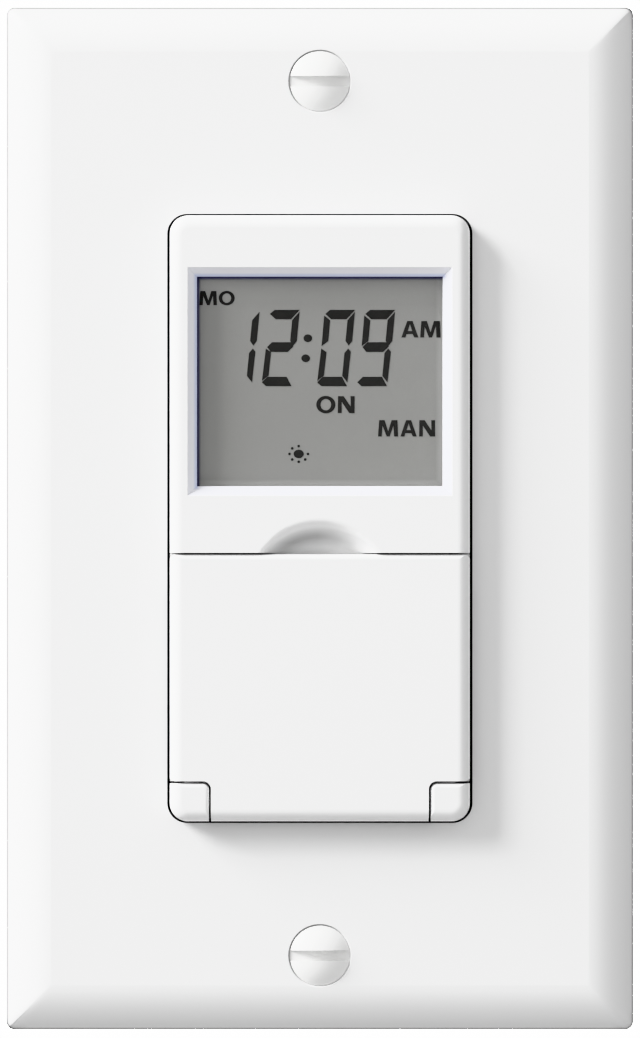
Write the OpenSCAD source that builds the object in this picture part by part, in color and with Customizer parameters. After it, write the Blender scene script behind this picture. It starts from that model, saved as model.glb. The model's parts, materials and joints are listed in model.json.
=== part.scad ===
// Programmable wall timer: a screwed wall plate, a display window and a push pad that flips open as a door.
// Millimetres, +Z up, front towards -Y, origin on the wall plane at the middle of the plate.
// Pieces are drawn lying face up (x across, y up the wall, z out of the wall) and stood up by facing().

/* [Wall plate] */
// Width of the wall plate
plate_w = 69.6; // [66:0.1:80]
// Distance from a plate screw to the nearest end of the plate
plate_end = 8.3; // [7.5:0.02:12]
// Distance from the wall to the flat face of the plate
plate_d = 5.6; // [5.5:0.1:6.5]
// Thickness of the plate's moulded shell
plate_t = 2; // [1.8:0.1:2.1]
// Width of the rounded bevel around the plate
bevel_w = 5; // [3.5:0.1:6]
// How far the bevel falls from the flat face to the outer edge
bevel_drop = 2.3; // [1.6:0.1:2.4]
// Slope of the bevel where it leaves the flat face, in degrees
bevel_start = 3; // [3:1:8]
// Radius of the plate's outer edge
plate_edge_r = 0.6; // [0.6:0.1:0.7]
// Corner radius of the plate's outline
plate_corner_r = 1; // [0.5:0.1:2]

/* [Display] */
// Width of the display window
window_w = 27.2; // [26:0.1:30]
// Height of the display window
window_h = 23.2; // [21:0.1:26]
// Width of the chamfer around the window
window_chamfer = 1.05; // [0.8:0.05:1.2]

/* [Device face] */
// Width of the bezel beside the window
bezel_side = 3; // [2.7:0.1:3.4]
// Height of the bezel above the window
bezel_top = 6.77; // [6:0.01:8]
// Height of the bezel below the window
bezel_bottom = 7.455; // [6.8:0.005:9]
// How far the face stands out of the plate
face_proud = 2.6; // [2.4:0.1:3]
// Corner radius of the face's outline
face_corner_r = 2; // [1.6:0.1:2.6]
// Radius of the face's rounded front edge
face_edge_r = 1.3; // [0.8:0.1:1.5]
// Gap between each side of the face and the plate's opening
face_gap = 0.3; // [0.2:0.02:0.5]
// Gap between each end of the face and the plate's opening
face_end_gap = 0.2; // [0.12:0.02:0.3]

/* [Flip door] */
// Height of the door, from the joint line to the bottom of the face
door_h = 29.625; // [27:0.005:34]
// Thickness of the door
door_t = 1.5; // [1.3:0.1:1.6]
// Gap along the joint line and beside the hinge blocks
seam = 0.18; // [0.15:0.01:0.25]
// Gap above the hinge blocks
ear_gap = 0.25; // [0.2:0.01:0.3]
// Width of a hinge block
ear_w = 4.36; // [4:0.02:4.8]
// Height of a hinge block
ear_h = 4.2; // [4:0.1:4.4]
// Angle of the push frame when the closed door is pressed
press_angle = 1.2; // [0.8:0.1:1.3]

/* [Thumb scoop] */
// Outer radius of the scoop
scoop_r = 7.7; // [7:0.1:8]
// Distance of the scoop's centre below the joint line
scoop_drop = 4.1; // [3.9:0.1:4.5]
// Width and depth of the sloped band around the scoop
scoop_band = 0.8; // [0.7:0.05:1]
// Radius that softens the scoop's outer edge
scoop_edge_r = 0.8; // [0.4:0.1:1]
// Steepness of the hollow where it meets the band, in degrees
scoop_slope = 54; // [48:1:56]
// Radius of the hollow's rounded wall
dish_r = 4.2; // [3.6:0.1:4.4]
// Distance of the hollow's centre below the scoop's centre
dish_shift = 0.7; // [0.4:0.1:0.8]

/* [Keys] */
// Width of a key
key_w = 7; // [6:0.1:7.6]
// Height of a key
key_h = 4.4; // [3.8:0.1:5]
// Distance of the key columns from the middle
key_x = 7.6; // [7.2:0.1:8]
// Distance of the upper key row below the joint line
key_drop = 8.1; // [7.9:0.1:8.5]
// Distance between the key rows
key_pitch = 8.8; // [8.4:0.1:9]
// Travel of a key
key_travel = 0.4; // [0.25:0.05:0.45]

/* [Strap and case] */
// How far the rear case reaches past each side of the face
case_side = 4.4; // [4.2:0.1:6]
// How far the rear case reaches past each end of the face
case_end = 2.475; // [2.3:0.005:4]
// Height of the relay, the tallest component in the rear case
relay_d = 14.8; // [13:0.1:18]
// Wall thickness of the rear case
case_wall = 1.6; // [1.4:0.1:1.8]
// Distance from an end of the rear case to the wall-box screw
box_screw_end = 5.67; // [5:0.01:8]
// Distance from a wall-box screw to the plate screw
plate_screw_step = 6.75; // [6.2:0.01:9]
// Thickness of the strap
strap_t = 1.3; // [1.2:0.1:1.4]

/* [Screws] */
// Radius of a plate screw's head
screw_head_r = 3.33; // [3.2:0.01:3.6]
// Radius of a plate screw's shank
screw_shank_r = 1.7; // [1.5:0.05:1.75]
// Height of a plate screw's dome
screw_dome = 1.05; // [0.8:0.05:1.2]
// Width of a plate screw's slot
screw_slot = 1.18; // [0.9:0.02:1.2]

/* [Hidden] */
$fn = 48;
touch = 0.05;
pin_clear = 0.05;
loose = 0.2;
past = 1;

face_w = window_w + 2 * bezel_side;
face_h = bezel_top + window_h + bezel_bottom + door_h;
face_z = plate_d + face_proud;
joint_y = door_h - face_h / 2;
window_y = joint_y + bezel_bottom + window_h / 2;
scoop_y = joint_y - scoop_drop;
case_w = face_w + 2 * case_side;
case_h = face_h + 2 * case_end;
board_t = 1.6;
board_z = -0.8;
board_back = board_z - board_t;
battery_t = 3;
battery_clear = 1.6;
barrier_t = 0.5;
barrier_z = board_back - battery_t - battery_clear;
relay_clear = 2.2;
power_t = 1.6;
power_z = barrier_z - relay_clear - relay_d;
power_stand = 4.4;
case_d = case_wall + power_stand - power_z;
half_case_w = case_w / 2;
half_case_h = case_h / 2;
box_screw_y = half_case_h + box_screw_end;
screw_y = box_screw_y + plate_screw_step;
plate_h = 2 * (screw_y + plate_end);

bevel_chord = norm([bevel_w, bevel_drop]);
bevel_r = bevel_chord / (2 * sin(atan(bevel_drop / bevel_w) - bevel_start));
bevel_in = bevel_r * sin(bevel_start);
bevel_mid_z = plate_d - bevel_r * cos(bevel_start);
edge_run = bevel_in + bevel_w - plate_edge_r;
edge_z = bevel_mid_z + sqrt(pow(bevel_r - plate_edge_r, 2) - edge_run * edge_run);
bevel_run = bevel_r * edge_run / (bevel_r - plate_edge_r) - bevel_in;
plate_rim = 1.8;
plate_under = plate_d - plate_t;
rib_t = 1.2;
rib_z = 1.6;
screw_boss_r = 5.2;
sink_r = screw_head_r + 0.2;
sink_slope = tan(41);
plate_hole_r = screw_shank_r + 0.25;
dome_r = (screw_head_r * screw_head_r + screw_dome * screw_dome) / (2 * screw_dome);
screw_rim = 0.12;
screw_cone = (screw_head_r - screw_shank_r) / sink_slope;
screw_seat = plate_d - 0.1;
screw_l = plate_d + 5;
dish_run = scoop_r - scoop_band + dish_shift - dish_r * sin(scoop_slope);
dish_rise = dish_r * cos(scoop_slope) - scoop_band;
dish_y = scoop_y - dish_shift;
scoop_ledge = 0.3;
scoop_ledge_w = 2 * scoop_r - 2.6;
scoop_edge_run = scoop_edge_r * tan(22.5);

wall = 1.3;
well_w = face_w - 2 * wall;
flange_z = plate_under - 0.3;
strap_w = case_w - 1;
strap_body_h = case_h - 1;
strap_corner_r = 1.5;
rib_x = strap_w / 2 + 5;
rib_y = half_case_h + 3;
neck_w = 19;
neck_corner_r = 3;
neck_h = 2 * (screw_y + 4);
lug_r = 3.8;
lug_x = neck_w / 2 + 3.1;
lug_y = screw_y - 1.5;
lug_bridge = 3;
box_hole_r = 2.2;
case_screw_r = 1.2;
case_screw_x = half_case_w - 3;
case_screw_y = half_case_h - 3;
case_hole_r = case_screw_r + loose;
case_head_r = 2.2;
case_head_t = 1.8;
case_head_z = 0.2 - case_d;
case_post_r = 2.6;
cross_w = 0.6;
notch = 2 * (case_post_r + loose);
tab_w = 8;
tab_x = 14.5;
tab_y = -half_case_h - 5;
tab_d = 9.5;
tab_z = -5;
ground_r = 1.75;
ground_head_r = 3.2;
ground_head_t = 1.8;
ground_washer_r = 3.4;
ground_washer_t = 0.8;
ground_l = 4.4;
ground_slot = 0.9;

land = 0.3;
lens_t = 0.6;
lens_edge = 1;
lens_z = face_z - window_chamfer - land;
gasket_t = 0.15;
gasket_lip = 0.3;
glass_z = lens_z - lens_t - gasket_t;
glass_t = 0.9;
film_t = 0.25;
film_edge = 0.3;
glass_w = window_w + 1.4;
glass_ledges = 6.1;
glass_h = window_h + glass_ledges;
rear_glass_h = window_h + 1.3;
ledge = (glass_h - rear_glass_h) / 2;
tray_z = glass_z - 2 * glass_t - film_t;
tray_floor = 1.6;
tray_rim = 2;
holder_w = glass_w + 2 * 0.7;
holder_h = glass_h + 2 * 1.1;
cavity_w = holder_w + 2 * loose;
cavity_h = holder_h + 2 * loose;
strip_w = glass_w - 2.8;
strip_h = 1.5;
strip_y = (glass_h - ledge) / 2;

board_w = case_w - 2 * case_wall - 0.4;
board_h = case_h - 2 * case_wall - 2.8;
chip_side = 10;
chip_t = 1.3;
chip_leg = 0.4;
chip_foot = 1.6;
chip_pitch = 1;
crystal_r = 1;
crystal_l = 6;
crystal_x = 9;
battery_r = 10;
battery_y = window_y - 1;
clip_t = 0.4;
clip_w = 4;
clip_wall = 1;
clip_reach = 1.4;
clip_gap = 0.05;
clip_drop = battery_t + clip_t + 2 * clip_gap;

door_z = face_z - door_t;
door_top = joint_y - seam / 2;
door_top_r = 0.55;
door_corner_r = 0.6;
bezel_low = joint_y + seam / 2;
ring_t = 1.5;
ring_z = door_z - 0.2 - ring_t;
ring_w = well_w - 0.6;
ring_top = joint_y - 0.5;
key_window_w = 2 * key_x + key_w + 3;
key_window_top = joint_y - 4.1;
ear_top = ear_h - face_h / 2;
rail_low = ear_top + 0.23;
rail_h = 2.6;
key_window_low = rail_low + rail_h;
grip_r = scoop_r - 2;
pivot_y = joint_y - 2.1;
pivot_z = ring_z + 0.1;
pivot_r = 0.7;
pivot_mid = (face_w + ring_w - 2) / 4;
pivot_half = (face_w - ring_w + 2) / 4 - 0.1;
pivot_lug_w = 1.6;
pivot_lug_h = 2.4;
cheek_h = 4;
deck_z = ring_z - 0.7;
deck_t = 1.2;
deck_back = deck_z - deck_t;
side_top = door_z - 0.9;
foot_r = 1.1;
foot_x = well_w / 2 - 2;
foot_y = wall + 1.2 - face_h / 2;

ear_x = face_w / 2 - ear_w;
ear_block = 10;
ear_corner_r = 0.7;
ear_edge_r = 0.45;
ear_back = ring_z - 0.4;
hinge_in = 1.2;
hinge_y = ear_top - hinge_in;
hinge_z = face_z - hinge_in;
hinge_r = 0.7;
hinge_pin = 2.5;
barrel_r = 1.1;
ear_reach = sqrt(2) * (hinge_in - ear_edge_r) + ear_edge_r;
relief_r = ear_reach + loose;

upper_key_y = joint_y - key_drop;
lower_key_y = upper_key_y - key_pitch;
key_top = door_z - 0.8;
key_corner_r = 1.2;
key_skirt = 0.6;
key_skirt_t = 0.7;
key_back = deck_back - touch - key_skirt_t;
reset_y = (upper_key_y + lower_key_y) / 2;
reset_r = 1.5;
reset_top = key_top - 0.8;
switch_side = 6;
switch_floor = 0.4;
switch_top = key_back - key_travel - 0.15;
plunger_r = 1.7;
plunger_rest = board_z + switch_floor + 0.1;
stub_y = rail_low + rail_h / 2 + 0.2;
stub_r = 1.1;
stub_tip = key_back + 0.1;
press_travel = (pivot_y - stub_y) * sin(press_angle);
press_top = stub_tip - press_travel - 0.15;

power_w = board_w - 2.4;
power_in = 4;
power_h = board_h - 2 * power_in;
power_post_r = 1.8;
pin_pitch = 2.54;
pin_count = 8;
pin_side = 0.64;
pin_rail = 2.5;
pin_y = 2.4 - power_h / 2;
component_r = 0.8;
component_gap = 2.5;
relay_w = 15;
relay_h = 19;
relay_y = power_h / 2 - component_gap - relay_h / 2;
smoothing_r = 4;
smoothing_d = 12;
smoothing_x = smoothing_r + 0.6;
smoothing_y = relay_y - relay_h / 2 - component_gap - smoothing_r;
varistor_r = 4.5;
varistor_t = 3.6;
varistor_y = smoothing_y - smoothing_r - component_gap - 1.5;
lead = 0.8;
film_w = 17.5;
film_h = 7;
film_d = 12.5;
film_y = pin_y + pin_rail + 0.2 + film_h / 2;
fuse_r = 1.8;
fuse_l = 9;
fuse_x = film_w / 2 + fuse_r + 0.45;
fuse_y = component_gap + fuse_l - power_h / 2;
diode_r = 1.35;
diode_l = 4.8;
diode_x = film_w / 2 + 0.35;
diode_y = varistor_y + 2;
diode_pitch = 3.2;

pocket = 10;
pocket_wall = 1.2;
pocket_depth = 5.8;
pocket_x = half_case_w - pocket_depth;
pocket_z = barrier_z - pocket_wall - pocket / 2;
pocket_side_w = pocket_depth + pocket_wall - touch;
terminal_y = 11;
terminals = [[1, terminal_y], [1, -terminal_y], [-1, 0]];
terminal_t = 1.2;
terminal_r = 1.75;
terminal_w = 8.4;
terminal_h = 8.8;
tail_w = 3;
tail_t = 0.8;
clamp_x = pocket_x + 2.4;
clamp_t = 1;
clamp_side = 7.6;
terminal_head_r = 3.2;
terminal_slot = 0.9;
through = 2;
shelf_w = case_wall + 1;
shelf_h = 4;
shelf_in = 15;
shelf_y = half_case_h - shelf_in;
vent_w = 1.2;
vent_d = 12;
vent_pitch = 5;

// Sub-part to draw

// Stands a piece drawn face up against the wall
module facing()
    rotate([90, 0, 0]) children();

// Box from one height to another
module block(w, h, low, high, x = 0, y = 0)
    translate([x - w / 2, y - h / 2, low]) cube([w, h, high - low]);

// Rectangle with round corners
module round_outline(w, h, r) {
    square([w - 2 * r, h], center = true);
    square([w, h - 2 * r], center = true);
    for (x = [-1, 1], y = [-1, 1])
        translate([x * (w / 2 - r), y * (h / 2 - r)]) circle(r);
}

// Box with round corners
module round_block(w, h, r, low, high, x = 0, y = 0)
    translate([x, y, low]) linear_extrude(high - low) round_outline(w, h, r);

// Round post standing out of the wall
module post(r, low, high, x = 0, y = 0)
    translate([x, y, low]) cylinder(r = r, h = high - low);

// Round rod lying across
module cross_rod(r, from, to, y, z)
    translate([from, y, z]) rotate([0, 90, 0]) cylinder(r = r, h = to - from);

// Outline drawn as x and z, extended up the wall
module along_y(length)
    rotate([90, 0, 0]) linear_extrude(length, center = true) children();

// Outline drawn as y and z, extended across
module along_x(length)
    rotate([90, 0, 90]) linear_extrude(length, center = true) children();

// Cross-section with two rounded front edges
module soft_profile(span, low, high, r) {
    translate([-span / 2, low]) square([span, high - low - r]);
    translate([r - span / 2, low]) square([span - 2 * r, high - low]);
    for (side = [-1, 1])
        translate([side * (span / 2 - r), high - r]) circle(r);
}

// Box with round corners and a rounded front edge
module soft_block(w, h, corner, edge, low, high) {
    along_y(h - 2 * corner) soft_profile(w, low, high, edge);
    along_x(w - 2 * corner) soft_profile(h, low, high, edge);
    for (quarter = [[1, 1, 0], [-1, 1, 90], [-1, -1, 180], [1, -1, 270]])
        translate([quarter[0] * (w / 2 - corner), quarter[1] * (h / 2 - corner), 0])
            rotate(quarter[2])
                rotate_extrude(angle = 90) {
                    translate([0, low]) square([corner, high - low - edge]);
                    translate([0, low]) square([corner - edge, high - low]);
                    translate([corner - edge, high - edge])
                        intersection() {
                            circle(edge);
                            square(edge);
                        }
                }
}

// Whole face of the device, which the bezel, the door and the hinge blocks share
module face_block()
    soft_block(face_w, face_h, face_corner_r, face_edge_r, strap_t, face_z);

// Cross-section of the plate with its rounded bevels and outer edges
module bevel_profile(span) {
    translate([-span / 2, 0]) square([span, edge_z]);
    translate([bevel_w - span / 2, 0]) square([span - 2 * bevel_w, plate_d]);
    for (side = [-1, 1]) {
        intersection() {
            translate([side * (span / 2 - bevel_w - bevel_in), bevel_mid_z]) circle(bevel_r);
            translate([side * (span / 2 - bevel_w + bevel_run / 2) - bevel_run / 2, 0])
                square([bevel_run, plate_d]);
        }
        translate([side * (span / 2 - plate_edge_r), edge_z]) circle(plate_edge_r);
    }
}

// Cross-section of the window's chamfer
module chamfer_profile(span)
    polygon([
        [-span / 2, face_z - window_chamfer],
        [span / 2, face_z - window_chamfer],
        [span / 2 + window_chamfer + past, face_z + past],
        [-span / 2 - window_chamfer - past, face_z + past]
    ]);

module wall_plate()
    color("white") facing()
        difference() {
            union() {
                difference() {
                    intersection() {
                        along_y(plate_h) bevel_profile(plate_w);
                        along_x(plate_w) bevel_profile(plate_h);
                        round_block(plate_w, plate_h, plate_corner_r, 0, plate_d);
                    }
                    block(plate_w - 2 * plate_rim, plate_h - 2 * plate_rim, -past, plate_under);
                }
                for (side = [-1, 1]) {
                    block(rib_t, plate_h - plate_rim, rib_z, plate_under + touch, side * rib_x);
                    block(plate_w - plate_rim, rib_t, rib_z, plate_under + touch, 0, side * rib_y);
                    post(screw_boss_r, strap_t + touch, plate_under + touch, 0, side * screw_y);
                }
            }
            round_block(face_w + 2 * face_gap, face_h + 2 * face_end_gap, face_corner_r + face_end_gap,
                -past, plate_d + past);
            for (side = [-1, 1])
                translate([0, side * screw_y, 0]) {
                    post(plate_hole_r, -past, plate_d);
                    translate([0, 0, plate_d - sink_r / sink_slope])
                        cylinder(r1 = 0, r2 = 2 * sink_r, h = 2 * sink_r / sink_slope);
                }
        }

// Half cross-section of a plate screw, from the middle outwards
module screw_profile() {
    intersection() {
        translate([0, screw_dome - dome_r]) circle(dome_r);
        square([screw_head_r, screw_dome]);
    }
    polygon([
        [0, 0],
        [screw_head_r, 0],
        [screw_head_r, -screw_rim],
        [screw_shank_r, -screw_rim - screw_cone],
        [screw_shank_r, -screw_l],
        [0, -screw_l]
    ]);
}

module plate_screws()
    color("white") facing()
        for (side = [-1, 1])
            translate([0, side * screw_y, screw_seat])
                difference() {
                    rotate_extrude() screw_profile();
                    block(3 * screw_head_r, screw_slot, plate_d - screw_seat - 0.2, screw_dome + past);
                }

module mounting_strap()
    color("silver") facing()
        difference() {
            union() {
                linear_extrude(strap_t) {
                    round_outline(strap_w, strap_body_h, strap_corner_r);
                    round_outline(neck_w, neck_h, neck_corner_r);
                    for (x = [-1, 1], y = [-1, 1]) {
                        translate([x * lug_x, y * lug_y]) circle(lug_r);
                        translate([x * neck_w / 2, y * lug_y]) square(lug_bridge, center = true);
                    }
                    translate([tab_x - tab_w / 2, tab_y])
                        square([tab_w, strap_corner_r - strap_body_h / 2 - tab_y]);
                }
                block(tab_w, strap_t, -tab_d, strap_t, tab_x, tab_y + strap_t / 2);
            }
            block(cavity_w + loose, face_h - 2 * wall, -past, strap_t + past);
            for (side = [-1, 1]) {
                post(box_hole_r, -past, strap_t + past, 0, side * box_screw_y);
                post(screw_shank_r + pin_clear, -past, strap_t + past, 0, side * screw_y);
            }
            for (x = [-1, 1], y = [-1, 1])
                post(case_hole_r, -past, strap_t + past, x * case_screw_x, y * case_screw_y);
            translate([tab_x, tab_y - past, tab_z])
                rotate([-90, 0, 0]) cylinder(r = ground_r + pin_clear, h = strap_t + 2 * past);
        }

module ground_screw()
    color("green") facing()
        translate([tab_x, tab_y, tab_z]) rotate([90, 0, 0])
            difference() {
                union() {
                    post(ground_washer_r, 0, ground_washer_t);
                    translate([0, 0, ground_washer_t]) cylinder(r = ground_head_r, h = ground_head_t,
                        $fn = 6);
                    post(ground_r, -ground_l, ground_washer_t);
                }
                block(3 * ground_head_r, ground_slot, ground_washer_t + ground_head_t / 2,
                    ground_washer_t + ground_head_t + past);
            }

// Feet of the housing that stand on the logic board
module housing_feet()
    for (side = [-1, 1])
        post(foot_r, board_z, flange_z, side * foot_x, foot_y);

// Half cross-section of the thumb scoop's sloped band and soft edge, from its middle outwards
module scoop_profile()
    difference() {
        polygon([
            [0, -scoop_band - loose],
            [scoop_r - scoop_band - loose, -scoop_band - loose],
            [scoop_r - scoop_edge_run * cos(45), -scoop_edge_run * sin(45)],
            [scoop_r + scoop_edge_run, 0],
            [scoop_r + scoop_edge_run, past],
            [0, past]
        ]);
        translate([scoop_r + scoop_edge_run, -scoop_edge_r]) circle(scoop_edge_r);
    }

// Half cross-section of the thumb scoop's hollow, from its middle outwards: a flat floor and a rounded wall
module dish_profile() {
    intersection() {
        translate([dish_run, dish_rise]) circle(dish_r);
        translate([dish_run, dish_rise - dish_r]) square([dish_r, 2 * dish_r]);
    }
    translate([0, dish_rise - dish_r]) square([dish_run, 2 * dish_r]);
}

module front_housing()
    color("white") facing()
        difference() {
            union() {
                intersection() {
                    face_block();
                    block(face_w + past, face_h, strap_t, face_z, 0, bezel_low + face_h / 2);
                }
                difference() {
                    intersection() {
                        round_block(face_w, face_h, face_corner_r, strap_t, side_top);
                        block(face_w + past, face_h, strap_t, side_top, 0, bezel_low + touch - face_h / 2);
                    }
                    block(well_w, bezel_low - rail_low + touch, deck_z, face_z, 0,
                        (bezel_low + rail_low - touch) / 2);
                    block(face_w + past, ear_h + past, flange_z, face_z, 0, rail_low - (ear_h + past) / 2);
                }
                for (side = [-1, 1])
                    block(wall, cheek_h, side_top - touch, door_z - 0.3, side * (face_w - wall) / 2,
                        pivot_y);
                block(scoop_ledge_w, scoop_ledge + touch, deck_z - touch, door_z - 0.3, 0,
                    bezel_low + (touch - scoop_ledge) / 2);
                round_block(strap_w, strap_body_h, strap_corner_r, strap_t, flange_z);
                housing_feet();
            }
            block(cavity_w, cavity_h, strap_t - past, lens_z - lens_t, 0, window_y);
            block(window_w + 2 * lens_edge + loose, window_h + 2 * lens_edge + loose,
                lens_z - lens_t - touch, lens_z, 0, window_y);
            block(window_w, window_h, lens_z - touch, face_z, 0, window_y);
            translate([0, window_y, 0])
                intersection() {
                    along_y(window_h + 4 * window_chamfer) chamfer_profile(window_w);
                    along_x(window_w + 4 * window_chamfer) chamfer_profile(window_h);
                }
            difference() {
                union() {
                    block(well_w, joint_y - rail_low - 1, strap_t - past, deck_back, 0,
                        (joint_y + rail_low) / 2);
                    block(well_w, door_h - 5.4, strap_t - past, flange_z - deck_t, 0,
                        joint_y - (door_h + 5.4) / 2);
                }
                housing_feet();
            }
            translate([0, scoop_y, face_z]) rotate_extrude($fn = 96) scoop_profile();
            translate([0, dish_y, face_z]) rotate_extrude($fn = 96) dish_profile();
            for (x = [-1, 1], y = [upper_key_y, lower_key_y])
                round_block(key_w + 2 * loose, key_h + 2 * loose, key_corner_r + loose, strap_t, face_z,
                    x * key_x, y);
            post(reset_r + loose, strap_t, face_z, 0, reset_y);
            post(plunger_r + 1.5 * loose, strap_t, face_z, 0, stub_y);
            for (side = [-1, 1])
                cross_rod(pivot_r + pin_clear, side * face_w / 2 - 2 * wall, side * face_w / 2 + 2 * wall,
                    pivot_y, pivot_z);
            for (x = [-1, 1], y = [-1, 1])
                post(case_screw_r + pin_clear, strap_t - past, flange_z + past, x * case_screw_x,
                    y * case_screw_y);
        }

module display_lens()
    color("lightblue", 0.4) facing()
        block(window_w + 2 * lens_edge, window_h + 2 * lens_edge, lens_z - lens_t, lens_z, 0, window_y);

module display_gasket()
    color("dimgray") facing()
        difference() {
            block(glass_w, glass_h, glass_z, lens_z - lens_t, 0, window_y);
            block(window_w + 2 * gasket_lip, window_h + 2 * gasket_lip, glass_z - past, lens_z, 0,
                window_y);
        }

module front_glass()
    color("lightgray", 0.5) facing()
        block(glass_w, glass_h, glass_z - glass_t, glass_z, 0, window_y);

module rear_glass()
    color("darkgray") facing()
        block(glass_w, rear_glass_h, glass_z - 2 * glass_t, glass_z - glass_t, 0, window_y);

module reflector_film()
    color("gray") facing()
        block(glass_w - 2 * film_edge, rear_glass_h - 2 * film_edge, tray_z, tray_z + film_t, 0, window_y);

module display_holder()
    color("gainsboro") facing()
        difference() {
            block(holder_w, holder_h, board_z, glass_z - touch, 0, window_y);
            block(glass_w + loose, glass_h + loose, tray_z, glass_z + past, 0, window_y);
            block(glass_w - 2 * tray_rim, rear_glass_h - 2 * tray_rim, board_z - past,
                tray_z - tray_floor, 0, window_y);
            for (side = [-1, 1])
                block(strip_w + loose, strip_h + loose, board_z - past, glass_z, 0,
                    window_y + side * strip_y);
        }

module contact_strips()
    color("hotpink") facing()
        for (side = [-1, 1])
            block(strip_w, strip_h, board_z, glass_z - glass_t, 0, window_y + side * strip_y);

module logic_board()
    color("darkgreen") facing()
        difference() {
            block(board_w, board_h, board_back, board_z);
            for (x = [-1, 1], y = [-1, 1])
                block(notch, notch, board_back - past, board_z + past, x * case_screw_x, y * case_screw_y);
        }

module controller_chip()
    color("black") facing() {
        block(chip_side, chip_side, board_z + chip_leg / 2, board_z + chip_leg / 2 + chip_t, 0, window_y);
        for (pin = [-4:4], side = [-1, 1])
            block(chip_leg, chip_foot, board_z, board_z + chip_leg, pin * chip_pitch,
                window_y + side * (chip_side + chip_foot / 2) / 2);
    }

module clock_crystal()
    color("silver") facing()
        translate([crystal_x, window_y + crystal_l / 2, board_z + crystal_r + 0.02])
            rotate([90, 0, 0]) cylinder(r = crystal_r, h = crystal_l);

module battery_holder()
    color("silver") facing() {
        post(battery_r + clip_reach - clip_wall / 2, board_back - clip_t, board_back, 0, battery_y);
        for (side = [-1, 1])
            block(clip_w, clip_wall, board_back - clip_drop - clip_t, board_back, 0,
                battery_y + side * (battery_r + clip_reach - clip_wall / 2));
        block(clip_w, 2 * (battery_r + clip_reach), board_back - clip_drop - clip_t,
            board_back - clip_drop, 0, battery_y);
    }

module backup_battery()
    color("lightgray") facing()
        post(battery_r, board_back + clip_gap - clip_drop, board_back - clip_t - clip_gap, 0, battery_y);

// Body of a push switch, with the bore its plunger slides in
module switch_body(x, y, top)
    difference() {
        block(switch_side, switch_side, board_z, top, x, y);
        post(plunger_r + pin_clear, board_z + switch_floor, top + past, x, y);
    }

module key_switches()
    color("black") facing() {
        for (x = [-1, 1], y = [upper_key_y, lower_key_y])
            switch_body(x * key_x, y, switch_top);
        switch_body(0, reset_y, switch_top);
    }

module on_off_switch()
    color("black") facing()
        switch_body(0, stub_y, press_top);

module header_pins()
    color("black") facing() {
        block(pin_count * pin_pitch, pin_rail, board_back - pin_rail, board_back, 0, pin_y);
        for (pin = [0:pin_count - 1])
            block(pin_side, pin_side, power_z, board_back, (pin - (pin_count - 1) / 2) * pin_pitch, pin_y);
    }

module power_board()
    color("darkgreen") facing()
        block(power_w, power_h, power_z - power_t, power_z);

module relay()
    color("royalblue") facing()
        round_block(relay_w, relay_h, component_r, power_z, power_z + relay_d, 0, relay_y);

module film_capacitor()
    color("gold") facing()
        round_block(film_w, film_h, component_r, power_z, power_z + film_d, 0, film_y);

module smoothing_capacitors()
    color("midnightblue") facing()
        for (side = [-1, 1])
            post(smoothing_r, power_z, power_z + smoothing_d, side * smoothing_x, smoothing_y);

module varistor()
    color("steelblue") facing() {
        translate([0, varistor_y, power_z + varistor_r + 2]) rotate([90, 0, 0]) cylinder(r = varistor_r,
            h = varistor_t);
        for (side = [-1, 1])
            block(lead, lead, power_z, power_z + varistor_r, side * varistor_r / 2,
                varistor_y - varistor_t / 2);
    }

module fuse()
    color("beige") facing()
        translate([fuse_x, fuse_y, power_z + fuse_r + touch]) rotate([90, 0, 0]) cylinder(r = fuse_r,
            h = fuse_l);

module rectifier_diodes()
    color("black") facing()
        for (row = [0:3])
            cross_rod(diode_r, -diode_x - diode_l, -diode_x, diode_y - diode_pitch * row,
                power_z + diode_r + touch);

module insulating_barrier()
    color("ivory") facing()
        difference() {
            block(case_w - 2 * shelf_w, board_h, barrier_z, barrier_z + barrier_t);
            for (x = [-1, 1], y = [-1, 1])
                block(notch, notch, barrier_z - past, barrier_z + past, x * case_screw_x, y * case_screw_y);
            block(pin_count * pin_pitch + 1, pin_rail + 1, barrier_z - past, barrier_z + past, 0, pin_y);
        }

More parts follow.
